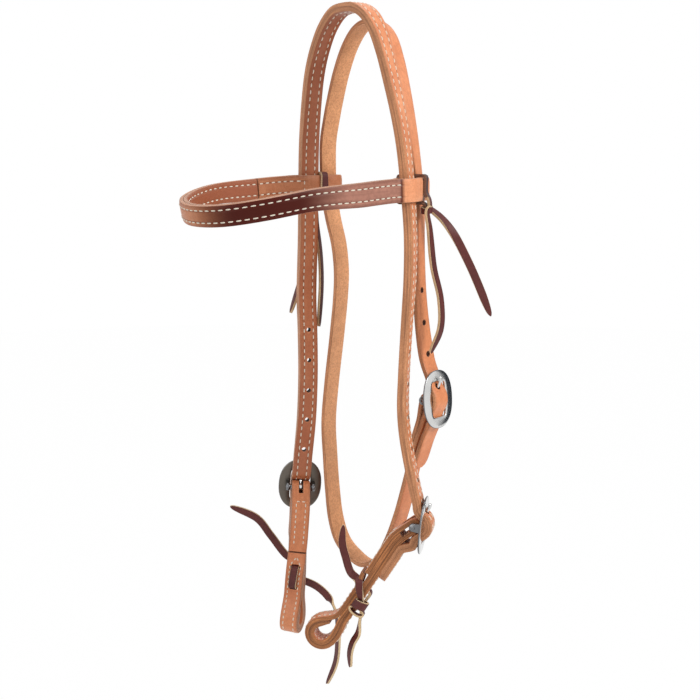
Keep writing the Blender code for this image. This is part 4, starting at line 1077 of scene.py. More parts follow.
def grain_look(name, light, deep, dark, roughness=(0.34, 0.52), shine=0.40, painted_sheen=None,
               coat=0.06):
    """Oiled grain side: mottled, faintly streaked along the strap, with a fine pore bump.

    The tone painted on the strap goes from plain at 0 to dark at 1, which on the linings is painted
    shade, and to a painted sheen, a painted highlight, at 2.
    """
    look = new_look(name)
    cloud = look.ramp(look.noise(38, 5), 0.34, 0.68)
    patch = look.ramp(look.noise(300, 4, 0.65), 0.38, 0.66)
    streak = look.ramp(look.noise(1.0, 3, 0.5, look.strap(420, 34)), 0.36, 0.7)
    fleck = look.ramp(look.noise(1000, 3), 0.48, 0.72)
    colour = look.mix(cloud, light, deep)
    colour = look.mix(look.ramp(streak, -0.6, 2.4), colour, deep)
    colour = look.mix(look.ramp(patch, -0.1, 2.6), colour, shade(deep, 0.72))
    colour = look.mix(look.ramp(fleck, 0.0, 2.6), colour, shade(deep, 0.55))
    colour = look.mix(look.ramp(look.tone(), 0.0, 1.0), colour, dark)
    rim = shade(deep, 0.40)
    # Tone 2 lays on a painted sheen: a highlight painted into the colour, streaked and patched
    if painted_sheen:
        wear_and_sheen = look.mix(look.ramp(streak, -0.3, 1.6), painted_sheen, shade(painted_sheen, 0.5))
        wear_and_sheen = look.mix(look.ramp(patch, 0.0, 1.8), wear_and_sheen, shade(painted_sheen, 0.55))
        colour = look.mix(look.ramp(look.tone(), 1.0, 2.0), colour, wear_and_sheen)
        rim = shade(dark, 1.6)
    colour = look.mix(look.ramp(look.tone("wear"), 0.0, 1.8), colour, rim)
    spread = roughness[1] - roughness[0]
    gloss = look.ramp(cloud, -roughness[0] / spread, (1 - roughness[0]) / spread)
    pores = look.add("ShaderNodeTexVoronoi", {"Vector": look.place(), "Scale": 1250.0},
                     feature="F1").outputs["Distance"]
    normal = look.bump(look.noise(260, 5), 0.32, 0.00045, look.bump(pores, 0.30, 0.00014))
    look.link(Base_Color=colour, Roughness=gloss, Normal=normal)
    look.set({"Specular IOR Level": shine, "Coat Weight": coat, "Coat Roughness": 0.35})
    return look.owner


def fibre_look(name, light, deep, coarse, roughness=0.78, layered=0.0, stain=None):
    """Raw flesh side or cut edge: speckled fibres and a matt surface, darkened by the tone: a stain
    on wound thong edges, painted shade on the linings.
    """
    look = new_look(name)
    cloud = look.ramp(look.noise(70, 5), 0.3, 0.7)
    speck = look.ramp(look.noise(coarse, 5, 0.7), 0.42, 0.62)
    colour = look.mix(speck, light, deep)
    colour = look.mix(look.ramp(cloud, -0.6, 2.2), colour, shade(deep, 0.66))
    height = speck
    if layered:
        lines = look.ramp(look.noise(1.0, 3, 0.55, look.strap(760, 26)), 0.40, 0.62)
        fine = look.ramp(look.noise(1.0, 3, 0.6, look.strap(1900, 60)), 0.42, 0.66)
        seam = look.ramp(look.tone("wear"), 0.45, 0.45 + 0.9 / layered)
        colour = look.mix(look.ramp(lines, 0.0, 1 / layered), colour, shade(deep, 0.42))
        colour = look.mix(look.ramp(fine, 0.0, 1.6 / layered), colour, shade(deep, 0.42))
        colour = look.mix(seam, colour, shade(deep, 0.25))
        height = lines
    colour = look.mix(look.ramp(look.tone(), 0.0, 2.0), colour, stain or shade(deep, 0.5))
    normal = look.bump(look.noise(coarse * 2.4, 4), 0.35, 0.00015,
                       look.bump(height, 0.6, 0.0003))
    look.link(Base_Color=colour, Normal=normal)
    look.set({"Roughness": roughness, "Sheen Weight": 0.25, "Sheen Roughness": 0.5,
              "Specular IOR Level": 0.25})
    return look.owner


def thread_looks():
    """Pale twisted thread, and dark marks of painted shade for the awl holes that it goes through."""
    thread = new_look("stitch_thread")
    twist = thread.noise(1800, 2)
    thread.link(Base_Color=thread.mix(twist, (0.80, 0.74, 0.62), (0.62, 0.54, 0.42)),
                Normal=thread.bump(twist, 0.6, 0.0002))
    thread.set({"Roughness": 0.6, "Sheen Weight": 0.2})
    hole = new_look("awl_hole_painted_shade")
    hole.link(Base_Color=hole.mix(hole.noise(500), (0.11, 0.028, 0.012), (0.06, 0.015, 0.008)))
    hole.set({"Roughness": 0.8})
    return thread.owner, hole.owner


def steel_look(name, tint, roughness):
    """Polished steel with a slight haze and fine scratches."""
    look = new_look(name)
    haze = look.ramp(look.noise(45, 4), 0.3, 0.75)
    scratch = look.noise(1.0, 3, 0.5, look.stretched(look.place(), (300, 2600, 2600)))
    look.link(Base_Color=look.mix(haze, tint, shade(tint, 0.86)),
              Roughness=look.ramp(haze, -roughness / 0.08, (1 - roughness) / 0.08),
              Normal=look.bump(scratch, 0.05, 0.00004))
    look.set({"Metallic": 1.0})
    return look.owner


def make_looks():
    """Each look's materials, for a strap in the order grain, edge, flesh and hole."""
    grain = grain_look("strap_grain", (0.90, 0.365, 0.162), (0.66, 0.216, 0.085),
                       (0.22, 0.052, 0.022))
    # The browband grain's last colour is its painted sheen, a painted highlight laid on at tone 2
    brow = grain_look("brow_grain", (0.92, 0.43, 0.235), (0.72, 0.270, 0.125),
                      (0.062, 0.0085, 0.0045), (0.30, 0.45), 0.12, (0.47, 0.218, 0.158), 0.0)
    edge = fibre_look("strap_edge", (0.92, 0.430, 0.210), (0.64, 0.265, 0.118), 900, 0.62, 0.55)
    bit_edge = fibre_look("bit_end_edge", (0.82, 0.315, 0.108), (0.52, 0.185, 0.060), 900, 0.62,
                          1.15)
    flesh = fibre_look("strap_flesh", (0.99, 0.49, 0.235), (0.64, 0.275, 0.115), 700)
    thong = grain_look("latigo_grain", (0.150, 0.036, 0.030), (0.088, 0.018, 0.016),
                       (0.04, 0.01, 0.01), (0.38, 0.55), 0.25)
    core = fibre_look("latigo_edge", (0.84, 0.64, 0.38), (0.62, 0.42, 0.22), 1500, 0.6, 0.0,
                      (0.10, 0.022, 0.018))
    # Walls of holes and slots are painted dark: painted shade inside the cuts
    wall = fibre_look("hole_wall_painted_shade", (0.16, 0.055, 0.025), (0.08, 0.025, 0.012), 900)
    return {"strap": (grain, edge, flesh, wall), "brow": (brow, edge, flesh, wall),
            "bit": (grain, bit_edge, flesh, wall), "thong": (thong, core, thong, core),
            "thread": thread_looks(), "wall": wall,
            "steel": steel_look("polished_steel", (0.70, 0.70, 0.69), 0.10),
            # Dark copy of the steel for the plate's back: its colour is painted shade standing for
            # dark reflections
            "steel_back": steel_look("painted_shade_plate_back", (0.145, 0.125, 0.105), 0.30),
            # Dark copy of the steel for rims, lugs and bars: painted shade standing for dark
            # reflections
            "steel_rim": steel_look("steel_rim", (0.19, 0.193, 0.20), 0.20)}


def drill(name, run, places, look, share):
    """Round cutters for a strap's holes; those with an aim are for the tongue."""
    work = bmesh.new()
    for distance, aim in zip(*places):
        place = Vector(run.at([distance], 0.0, 0.0)[0])
        axis = aim if aim is not None else Vector(run.outward([distance])[0])
        radius = HOLE_RADIUS * (share if aim is None else TONGUE_HOLE)
        turn = axis.to_track_quat("Z", "Y").to_matrix().to_4x4()
        bmesh.ops.create_cone(work, cap_ends=True, segments=28, radius1=radius,
                              radius2=radius, depth=HOLE_DEPTH,
                              matrix=Matrix.Translation(place) @ turn)
    return made(name, work, [look])


def block(name, size, corner, place, look):
    """A round-cornered block cutter."""
    work = bmesh.new()
    bmesh.ops.create_cube(work, size=1.0)
    bmesh.ops.scale(work, verts=work.verts, vec=size)
    longest = max(range(3), key=lambda k: size[k])
    edges = [e for e in work.edges
             if abs((e.verts[0].co - e.verts[1].co)[longest]) > size[longest] / 2]
    bmesh.ops.bevel(work, geom=edges, offset=corner, segments=5, affect="EDGES")
    cutter = made(name, work, [look])
    cutter.matrix_world = place
    return cutter


def dressed_crown_curve(off, near):
    """The run of the crown strap, with the near billet lying on its folded end."""
    offset = FOLD_RADIUS + BIT_PLY / 2 + 2 * CLEARANCE + CROWN_THICKNESS / 2
    behind = WINDOW_TOP + PLATE_THICKNESS
    rows = list(reversed(billet_rows(off, BILLET_REACH, offset, -1)))
    rows += share_rows(OFF_CHEEK_SHARES[1:], CHEEK_DROP, CROWN_THICKNESS / 2)
    rows += share_rows(NEAR_CHEEK_SHARES[:-1], CHEEK_DROP, CROWN_THICKNESS / 2)
    rows += billet_rows(near, BILLET_REACH, offset)[:-len(TIP_RUN_SHARES)]
    for share in NEAR_TIP_SHARES:
        run = behind + (BILLET_REACH - behind) * share
        rows.append(near.turned_row(run, offset - NEAR_BILLET_PULL))
    return taper(spline(rows), STRAP_WIDTH * TIP_SHARE)


def outer_tone(share):
    """The near billet is darker from where it goes through its buckle to its tip."""
    return 0.42 * climb(share, 0.925, 0.02)


def lining_shade_tone(share):
    """Painted shade on the crown lining, darkest at its off side's top."""
    foot = 0.13 * (1 - climb(share, 0.13, 0.08))
    crest = 0.22 * climb(share, 0.26, 0.12) * (1 - climb(share, 0.50, 0.04))
    return 0.50 + foot + crest


def dress_crown(looks, off, near):
    curve = dressed_crown_curve(off, near)
    run = Run(curve)
    cutters = [drill("crown_drill_" + station.name, run,
                     hole_places(curve, station, step, CROWN_HOLES), looks["wall"], FREE_HOLE)
               for station, step in ((off, 1), (near, -1))]
    thickness = CROWN_PLY + (SEAM_GAP - HAIR) / 2
    ring = section(STRAP_WIDTH / 2, thickness, STITCH_INSET, ROLL)
    lift = (HAIR + thickness) / 2
    surface = lift + thickness / 2 - GROOVE_DEPTH
    tracks = []
    # The lining's tone is painted shade on its inward face
    for part, node, side, tone in (("outer", "crown_outer_ply", 1, outer_tone),
                                   ("lining", "crown_lining_ply", -1, lining_shade_tone)):
        piece = ribbon("crown_" + part + "_leather", run, ring, side * lift, side,
                       looks["strap"], lambda r: tone(r / run.length))
        carve(piece, cutters)
        settle(piece, "headstall", [node])
        for path in row_pair(0.0, run.length, STITCH_ACROSS, TIP_LENGTH, TIP_LENGTH):
            tracks += stitches(run, path, CROWN_PITCH, CROWN_STITCH, side, surface)
    drop(cutters)
    sew("crown_stitching", tracks, looks, "headstall")


def dress_throatlatch(looks, throat):
    offset = FOLD_RADIUS + THROAT_PLY + BILLET_SLACK + CLEARANCE
    rows = throat_chape_rows(throat)
    rows += share_rows(THROAT_LOOP_SHARES, THROAT_DROP, -THROAT_STEP + CROWN_THICKNESS / 2)
    rows += billet_rows(throat, THROAT_BILLET, offset)
    curve = tip_rows(spline(rows, 24), STRAP_WIDTH * TIP_SHARE)
    run = Run(curve)
    cutters = [drill("throat_drill", run, hole_places(curve, throat, -1, THROAT_HOLES),
                     looks["wall"], 1.0), slot_block(throat, looks["wall"])]
    ring = section(STRAP_WIDTH / 2, THROAT_PLY, None, ROLL, PLAIN_CORNER)
    piece = ribbon("throatlatch_leather", run, ring, 0.0, 1, looks["strap"])
    carve(piece, cutters)
    drop(cutters)
    settle(piece, "headstall", ["throatlatch_strap"])
    margin = THROAT_RETURN * 0.08
    fold = THROAT_RETURN + math.pi * FOLD_RADIUS
    tracks = []
    for start, end in ((margin, THROAT_RETURN - THROAT_STITCH_TOP),
                       (fold + THROAT_STITCH_TOP, fold + THROAT_RETURN - margin)):
        path = [(start, -STITCH_ACROSS), (start, STITCH_ACROSS), (end, STITCH_ACROSS),
                (end, -STITCH_ACROSS), (start, -STITCH_ACROSS)]
        tracks += stitches(run, path, BIT_PITCH, BIT_STITCH, 1, THROAT_PLY / 2 - THREAD_SINK / 4)
    sew("throat_stitching", tracks, looks, "headstall")


def slot_block(station, look):
    """The cutter for the slot in a fold, where the tongue comes through."""
    half = TONGUE_EYE_WIDTH / 2 + CLEARANCE
    reach = FOLD_RADIUS + BIT_PLY
    turn = Matrix.Rotation(-station.chape, 4, "X")
    place = (station.matrix() @ Matrix.Translation((0, 0, -BAR_SETBACK)) @ turn
             @ Matrix.Translation((0, (reach - SLOT_REACH) / 2, 0)))
    return block("slot_" + station.name, (2 * half, reach + SLOT_REACH, 2 * reach), half * 0.5,
                 place, look)


def lace_block(plan, name, run, look):
    """The cutter for a slot that a lace goes through, at a run below the bar."""
    room = 2 * LACE_ROOM
    reach = 2 * (2 * FOLD_RADIUS + BIT_PLY)
    outward, up, across = plan.station.axes(run)
    turn = Matrix((outward, up, -across)).transposed().to_4x4()
    place = Matrix.Translation(Vector(plan.station.turned_row(run, 0.0)[:3])) @ turn
    return block(name, (reach, THONG_THICKNESS + room, THONG_WIDTH + room), THONG_THICKNESS / 2,
                 place, look)


def brow_tone(share):
    """The browband's tone: redder ends at 0, a dark middle at 1, a stretch of painted sheen, a
    painted highlight, at 2.
    """
    if share < 0:
        return RETURN_TONE
    dark = BROW_TONE + (1 - BROW_TONE) * climb(share, 0.48, 0.12)
    # This second ramp paints the sheen, a painted highlight on the band's front
    painted_sheen = climb(share, 0.705, 0.108)
    return (dark + painted_sheen) * (1 - climb(share, 0.922, 0.012))


def brow_rows(plan):
    """Rows of the outer ply with its two returned ends and the loops between them."""
    runs = list(np.arange(0, plan.length, BROW_STEP)) + [plan.length]
    ends = [r for r in runs if r < RETURN_LENGTH] + [RETURN_LENGTH]
    rows = [plain_row(plan.row(r, -1)) for r in reversed(ends)]
    rows += end_rows(plan, True)
    rows += [plain_row(plan.row(r, 1)) for r in runs]
    rows += end_rows(plan, False)
    rows += [plain_row(plan.row(plan.length - r, -1)) for r in ends]
    return rows


def drawn_up(rows):
    """The browband with its front drawn a little narrower and higher."""
    table = []
    for row in rows:
        share = smooth((FRONT_START - row[1]) / FRONT_RUN)
        table.append((*row[:2], row[2] + FRONT_RISE * share, *row[3:6],
                      1 - FRONT_NARROWING * share))
    return table


def end_rows(plan, start):
    """The round end of a loop, behind the throatlatch."""
    place, up, heading, face = plan.row(0.0 if start else plan.length, 0)
    back = -heading if start else heading
    rows = []
    for angle in np.linspace(0, math.pi, 20)[1:-1]:
        side = -math.cos(angle) if start else math.cos(angle)
        spot = place + face * side * plan.open + back * math.sin(angle) * plan.open
        rows.append((*spot, *up, 1.0))
    return rows


def dress_browband(looks, plan):
    run = Run(drawn_up(brow_rows(plan)), BROW_STEP)
    ring = section(BROW_WIDTH / 2, BROW_PLY, BROW_INSET, BROW_ROLL, BROW_CORNER)
    first = RETURN_LENGTH + math.pi * plan.open
    last = first + plan.length
    side = 1 if Vector(run.outward([(first + last) / 2])[0]).y < 0 else -1

    def groove(distance):
        left = min(distance - first, last - distance)
        back = min(distance, run.length - distance)
        inner = smooth((RETURN_LENGTH - BROW_STITCH_START - back) / GROOVE_FADE + 1)
        return max(smooth((left - BROW_STITCH_START) / GROOVE_FADE + 1), inner)

    piece = ribbon("browband_leather", run, ring, 0.0, side, looks["brow"],
                   lambda r: brow_tone((r - first) / plan.length), groove)
    settle(piece, "headstall", ["browband_strap"])
    across = BROW_WIDTH / 2 - BROW_INSET
    surface = BROW_PLY / 2 - GROOVE_DEPTH
    tracks = []
    for path in row_pair(first + BROW_STITCH_START, last - BROW_STITCH_START, across):
        tracks += stitches(run, path, BROW_PITCH, BROW_STITCH, side, surface)
    stop = RETURN_LENGTH - BROW_STITCH_START
    for start, end in ((0.0, stop), (run.length, run.length - stop)):
        path = [(start, -across), (end, -across), (end, across), (start, across)]
        tracks += stitches(run, path, BROW_PITCH, INNER_STITCH, side, surface)
    start = RETURN_LENGTH + LEAF_BUTT
    runs = [start] + [r for r in np.arange(0, plan.length, BROW_STEP)
                      if start < r < plan.length - start] + [plan.length - start]
    inner = Run(drawn_up([plain_row(plan.row(r, -1)) for r in runs]), BROW_STEP)
    # The lining is darkened by painted shade through its tone
    piece = ribbon("browband_lining_leather", inner, ring, 0.0, -side, looks["strap"],
                   lambda r: BROW_LINING_SHADE)
    settle(piece, "headstall", ["browband_lining"])
    for path in row_pair(0.0, inner.length, across):
        tracks += stitches(inner, path, BROW_PITCH, INNER_STITCH, -side, surface)
    sew("browband_stitching", tracks, looks, "headstall")


class Leaf:
    """The folded strap of a bit end as one run, with the distances of its stretches."""

    def __init__(self, plan):
        radius = FOLD_RADIUS
        top = LINING_START * CHAPE_SHARES[0]
        rows = [plan.wall(r, -1, radius) for r in stepped(INNER_LEAF, top)]
        ends = [len(rows) - 1]
        rows += plan.fold_rows(radius, 17)
        ends.append(len(rows))
        rows += [plan.wall(r, 1, radius) for r in stepped(top, plan.bottom)]
        ends.append(len(rows) - 1)
        rows += plan.round_bottom(radius + plan.ring, 30)
        ends.append(len(rows))
        butt = INNER_LEAF + LEAF_BUTT
        for r in stepped(plan.bottom, butt):
            raised = plan.lift * smooth((LACE_FIRST - r) / (LACE_FIRST - butt))
            rows.append(plan.wall(r, -1, radius + raised))
        gone = along(np.array(rows, dtype=float))
        self.run = Run(rows, LEAF_STEP)
        self.marks = [gone[i] for i in ends]
        self.top = top
        self.bottom = plan.bottom

    def inner(self, below):
        return self.marks[0] - (below - self.top)

    def outer(self, below):
        share = (below - self.top) / (self.bottom - self.top)
        return self.marks[1] + (self.marks[2] - self.marks[1]) * share

    def back(self, below):
        share = (self.bottom - below) / (self.bottom - INNER_LEAF - LEAF_BUTT)
        return self.marks[3] + (self.run.length - self.marks[3]) * share


def stepped(start, end):
    """Even steps along a leaf, from one run to another."""
    count = max(int(abs(end - start) / LEAF_STEP), 2)
    return np.linspace(start, end, count + 1)


def lining_run(plan):
    """The bit end's lining, thinned out where the return leaf closes on it."""
    rows = [(*plan.wall(r, 1, 0.0), 1.0) for r in stepped(LINING_START, plan.bottom)]
    rows += [(*row, 1.0) for row in plan.round_bottom(plan.ring, 30)]
    end = plan.throat + (plan.bottom - plan.throat) * 0.5
    for share in np.linspace(0, 1, 10):
        run = plan.bottom + (end - plan.bottom) * share
        rows.append((*plan.wall(run, -1, 0.0), 1.0 - 0.6 * climb(share, 0.35, 0.65)))
    return Run(rows, LEAF_STEP)


def dress_bit_end(looks, plan, slots):
    station = plan.station
    name = station.name + "_bit_end"
    leaf = Leaf(plan)
    run = leaf.run
    cutters = [slot_block(station, looks["wall"])]
    for i in range(slots):
        cutters.append(lace_block(plan, "lace_" + str(i), LACE_FIRST + LACE_PITCH * i,
                                  looks["wall"]))
    side = 1 if run.outward([run.length / 2])[0] @ np.array(-station.up) > 0 else -1
    ring = section(STRAP_WIDTH / 2, BIT_PLY, None, ROLL, PLAIN_CORNER)
    piece = ribbon(name + "_leather", run, ring, 0.0, side, looks["bit"], lambda r: BIT_TONE)
    carve(piece, cutters)
    settle(piece, name, [name + "_strap"])
    filling = 2 * (FOLD_RADIUS - HAIR) - BIT_PLY
    ring = section(STRAP_WIDTH / 2, filling, None, 0.0, FLESH_EASE)
    inner = lining_run(plan)
    core = ribbon(name + "_core", inner, ring, 0.0, -side, looks["bit"], lambda r: CORE_TONE)
    carve(core, cutters[1:])
    drop(cutters)
    settle(core, name, [name + "_lining"])
    wide = STRAP_WIDTH / 2 - BIT_INSET
    head, foot = BIT_STITCH_TOP, INNER_LEAF - BIT_STITCH
    paths = [[(leaf.inner(foot), -STITCH_ACROSS), (leaf.inner(head), -STITCH_ACROSS),
              (leaf.inner(head), STITCH_ACROSS), (leaf.inner(foot), STITCH_ACROSS)]]
    for x in (-wide, wide):
        paths.append([(leaf.back(APEX_TOP), 0.0), (leaf.back(APEX_FOOT), x),
                      (leaf.outer(plan.bottom), x), (leaf.outer(head), x)])
    paths.append([(leaf.outer(head), -wide), (leaf.outer(head), wide)])
    tracks = []
    for path in paths:
        tracks += stitches(run, path, BIT_PITCH, BIT_STITCH, side, BIT_PLY / 2 - THREAD_SINK / 4)
    start = plan.throat + (plan.bottom - plan.throat) * 0.55 - LINING_START
    for x in (-wide, wide):
        tracks += stitches(inner, [(start, x), (inner.length - BIT_STITCH, x)], BIT_PITCH,
                           BIT_STITCH, -side, filling / 2 - THREAD_SINK / 4)
    sew(name + "_stitching", tracks, looks, name)


def face_tails(curve, first, last, slants=(0, 0)):
    """Turns the free ends of a thong: broad side to the near front at slant 0, edge on at 90."""
    gone = along(curve)
    tangent = unit(np.gradient(curve[:, :3], axis=0))
    broad = unit(np.cross(np.array(LACE_FACING), tangent))
    thin = np.cross(tangent, broad)
    for order, slant, shares in (
            (range(len(curve) - 1, -1, -1), slants[0], (first - gone) / LACE_TURN),
            (range(len(curve)), slants[1], (last - gone[-1] + gone) / LACE_TURN)):
        turn = math.radians(slant)
        way = 0.0
        for i in order:
            share = smooth(shares[i])
            if share <= 0:
                continue
            facing = broad[i] * math.cos(turn) + thin[i] * math.sin(turn)
            if not way:
                way = 1.0 if facing @ curve[i, 3:6] > 0 else -1.0
            width = curve[i, 3:6] * (1 - share) + facing * way * share
            curve[i, 3:6] = width / np.linalg.norm(width)
    return curve


def thong_curve(rows, point_first=True):
    """A thong's run, drawn to a point at its end and at its start too unless told not to."""
    curve = tip_rows(spline(rows, 16), THONG_POINT, POINT_SHARE)
    if point_first:
        curve = tip_rows(curve[::-1], THONG_POINT, POINT_SHARE)[::-1]
    return curve


def dress_thong(name, curve, looks, body, nodes=(), width=THONG_WIDTH,
                thickness=THONG_THICKNESS, wound=None):
    """A thong's leather; its edges are stained where it is wound, from one run to another."""
    run = Run(curve, THONG_RUN_STEP)
    ring = section(width / 2, thickness, None, THONG_ROLL, THONG_CORNER)

    def tone(distance):
        return EDGE_STAIN if wound and wound[0] < distance < run.length - wound[1] else 0.0

    piece = ribbon(name, run, ring, 0.0, 1, looks["thong"], tone)
    settle(piece, body, nodes)


def hoop(name, centre, axes, reach, looks, body, width=HOOP_WIDTH, sweep=math.pi):
    """A thong wound round others where they are tied; axes are its own and the two across."""
    axis, first, second = axes
    rows = []
    for angle in np.linspace(-sweep, sweep, 33):
        spot = (centre + first * (math.cos(angle) * reach[0])
                + second * (math.sin(angle) * reach[1]) + axis * (HOOP_RISE * math.sin(angle)))
        rows.append((*spot, *axis, 1.0))
    dress_thong(name, np.array(rows), looks, body, (), width, HOOP_THICKNESS)


def near_bit_lace(looks, plan):
    """The near bit end's band and lower tail, its knot, and the tail that crosses its edge."""
    station = plan.station
    side_room = STRAP_WIDTH / 2 + THONG_THICKNESS

    def beside(run, offset, away):
        outward, up, across = station.axes(run)
        spot = station.place(*station.spine(run)) + outward * (LACE_STAND * offset)
        return spot - across * (side_room * away), outward, up, across

    rows = bit_tie_rows(plan, 1, 1, NEAR_LACE_UPPER_SHARES, NEAR_LACE_LOWER_SHARES)
    tail = len(NEAR_LACE_UPPER_SHARES)
    curve = face_tails(thong_curve(rows[tail:], False), 0.0, BIT_TAIL * 0.52, (0, 55))
    dress_thong("near_bit_lace", curve, looks, "near_bit_end", ["near_bit_tie"])
    crossing_rows = rows[:tail - 1]
    for place in NEAR_CROSSING:
        spot, outward = beside(*place)[:2]
        crossing_rows.append((*spot, *outward, 1.0))
    curve = thong_curve(crossing_rows)
    curve = face_tails(curve, along(curve)[-1] * 0.9, 0.0)
    dress_thong("near_bit_lace_tail", curve, looks, "near_bit_end")
    centre, outward, up, across = beside(*NEAR_KNOT)
    hoop("near_bit_knot", centre, (up, -across, outward), KNOT_REACH, looks, "near_bit_end",
         KNOT_WIDTH, KNOT_SWEEP)
    centre += outward * RING_STAND - up * RING_DROP
    hoop("near_bit_ring", centre, (across, outward, up), RING_REACH, looks, "near_bit_end",
         RING_WIDTH)


def dress_ties(looks, plan, off_plan, near_plan):
    rows = browband_tie_rows(plan, OFF_TIE_PLACE, OFF_TIE_LONG_SHARES, OFF_TIE_SHORT_SHARES)
    curve = face_tails(thong_curve(rows), TIE_TAIL * 1.05, TIE_TAIL * 0.85, (68, 60))
    dress_thong("off_browband_lace", curve, looks, "headstall", ["off_browband_tie"])
    run = plan.length - NEAR_TIE_PLACE
    rows = browband_tie_rows(plan, run, NEAR_TIE_LONG_SHARES, NEAR_TIE_SHORT_SHARES)
    curve = face_tails(thong_curve(rows), TIE_TAIL * 1.15, TIE_TAIL * 0.95, (50, 0))
    dress_thong("near_browband_lace", curve, looks, "headstall", ["near_browband_tie"],
                wound=(TIE_TAIL * 1.28, TIE_TAIL * 1.04))
    place, _, heading, face = plan.row(run, 0)
    up = Vector((0, 0, 1))
    centre = (place + face * (plan.open + BROW_PLY / 2 + THONG_THICKNESS)
              - up * (BROW_WIDTH / 2 + THONG_WIDTH))
    hoop("near_browband_knot", centre, (up, face, heading),
         (THONG_THICKNESS * 1.5, THONG_WIDTH * 0.72), looks, "headstall")
    rows = bit_tie_rows(off_plan, -1, 2, OFF_LACE_UPPER_SHARES, OFF_LACE_LOWER_SHARES)
    curve = face_tails(thong_curve(rows), BIT_TAIL * 0.75, BIT_TAIL * 0.95, (10, 58))
    dress_thong("off_bit_lace", curve, looks, "off_bit_end", ["off_bit_tie"])
    near_bit_lace(looks, near_plan)


def superoval(angle, width, height, power):
    """Point of a rounded rectangle in a direction; a higher power has tighter corners."""
    cosine, sine = math.cos(angle), math.sin(angle)
    size = (abs(cosine / width * 2) ** power + abs(sine / height * 2) ** power) ** (-1 / power)
    return size * cosine, size * sine


def plate_piece(looks, station):
    """The oval plate with its window, eased all round, and its two lugs."""
    rings = []
    for angle in turns(PLATE_SIDES):
        outer = superoval(angle, PLATE_WIDTH, PLATE_HEIGHT, PLATE_POWER)
        inner = superoval(angle, WINDOW_WIDTH, WINDOW_HEIGHT, WINDOW_POWER)
        rings.append([(inner[0] + (outer[0] - inner[0]) * share,
                       inner[1] + (outer[1] - inner[1]) * share, level * PLATE_FACE)
                      for share, level in PLATE_PROFILE_SHARES])
    work = bmesh.new()
    loft(work, rings, True)
    for i, face in enumerate(work.faces):
        k = i % len(PLATE_PROFILE_SHARES)
        face.material_index = PLATE_BACK if k < 5 else PLATE_RIM if k < 8 else PLATE_FRONT
    plain = len(work.faces)
    across = WINDOW_WIDTH / 2 + LUG_WIDTH / 2 + LUG_ROOM
    add_lug(work, -across)
    add_lug(work, across)
    work.faces.ensure_lookup_table()
    for face in work.faces[plain:]:
        face.material_index = PLATE_RIM
    # Back, rim and lugs take the dark copies of the steel, which are painted shade
    materials = [looks["steel"], looks["steel_back"], looks["steel_rim"]]
    piece = polished(station.name + "_buckle_frame", work, materials)
    piece.matrix_world = station.matrix()
    return piece


def polished(name, work, looks):
    """A steel piece, smooth apart from its sharp edges."""
    bmesh.ops.recalc_face_normals(work, faces=work.faces)
    piece = made(name, work, looks)
    piece.data.shade_smooth()
    piece.data.set_sharp_from_angle(angle=STEEL_ANGLE)
    return piece


def add_lug(work, across):
    """A post from the plate's back with a round end about the bar."""
    outline = [(-LUG_RADIUS * math.sin(angle), LUG_RADIUS * math.cos(angle))
               for angle in np.linspace(0, math.pi, 25)]
    foot = BAR_SETBACK - PLATE_THICKNESS / 4
    outline += [(foot, -LUG_RADIUS * LUG_FLARE), (foot, LUG_RADIUS * LUG_FLARE)]
    ease = LUG_WIDTH * LUG_EASE_SHARE
    rings = []
    for x, shrink in ((-LUG_WIDTH / 2, ease), (ease - LUG_WIDTH / 2, 0),
                      (LUG_WIDTH / 2 - ease, 0), (LUG_WIDTH / 2, ease)):
        shares = [1 - shrink / math.hypot(z, y) for z, y in outline]
        rings.append([(across + x, y * share, z * share - BAR_SETBACK)
                      for (z, y), share in zip(outline, shares)])
    loft(work, rings)


def bar_piece(looks, station):
    """The bar through both lugs, with eased ends."""
    across = WINDOW_WIDTH / 2 + LUG_WIDTH + LUG_ROOM + CLEARANCE
    points = np.array([station.place(-BAR_SETBACK, 0.0, across * share)
                       for share, _ in BAR_PROFILE_SHARES])
    normals = np.tile(np.array(station.out), (len(points), 1))
    radii = [BAR_RADIUS * share for _, share in BAR_PROFILE_SHARES]
    # The bar takes the rim's dark copy of the steel, painted shade
    return tubes(station.name + "_bar_pin", [(points, normals, radii, 0)], 28,
                 [looks["steel_rim"]])


def tongue_piece(looks, station):
    """The tongue's curled eye and its pin, drawn down towards the tip."""
    wall = TONGUE_EYE_WALL / 2
    middle = BAR_RADIUS + CLEARANCE + wall
    rings = []
    for angle in turns(40):
        ring = []
        for thick, wide in EYE_SHARES:
            reach = middle + wall * thick
            ring.append(station.place(reach * math.cos(angle) - BAR_SETBACK,
                                      reach * math.sin(angle), wide * TONGUE_EYE_WIDTH / 2))
        rings.append(ring)
    work = bmesh.new()
    loft(work, rings, True)
    root, aim = (Vector(spot) for spot in tongue_line())
    run = (aim - root).normalized()
    start = root + run * middle
    knee = aim - run * TONGUE_RADIUS * 2
    soft = aim + Vector((0.1, 1.0)) * TONGUE_RADIUS
    end = aim + Vector((0.2 * TONGUE_RADIUS, TONGUE_LAP))
    rows = [(*station.place(*p), 0, 0, 0, 1) for p in (start, (start + knee) / 2, knee, soft, end)]
    path = spline(rows, 8)[:, :3]
    shares = np.linspace(0, 1, len(path))
    radii = TONGUE_RADIUS * (1.0 - 0.12 * shares) * np.sqrt(
        np.maximum(1 - np.maximum((shares - 0.9) / 0.1, 0) ** 2.2, 0.05))
    first = np.array(station.across)
    seconds = np.cross(unit(np.gradient(path, axis=0)), first)
    loft(work, [[Vector(spot + (first * math.cos(a) + second * math.sin(a)) * radius)
                 for a in turns(16)] for spot, second, radius in zip(path, seconds, radii)])
    return polished(station.name + "_tongue_pin", work, [looks["steel"]])


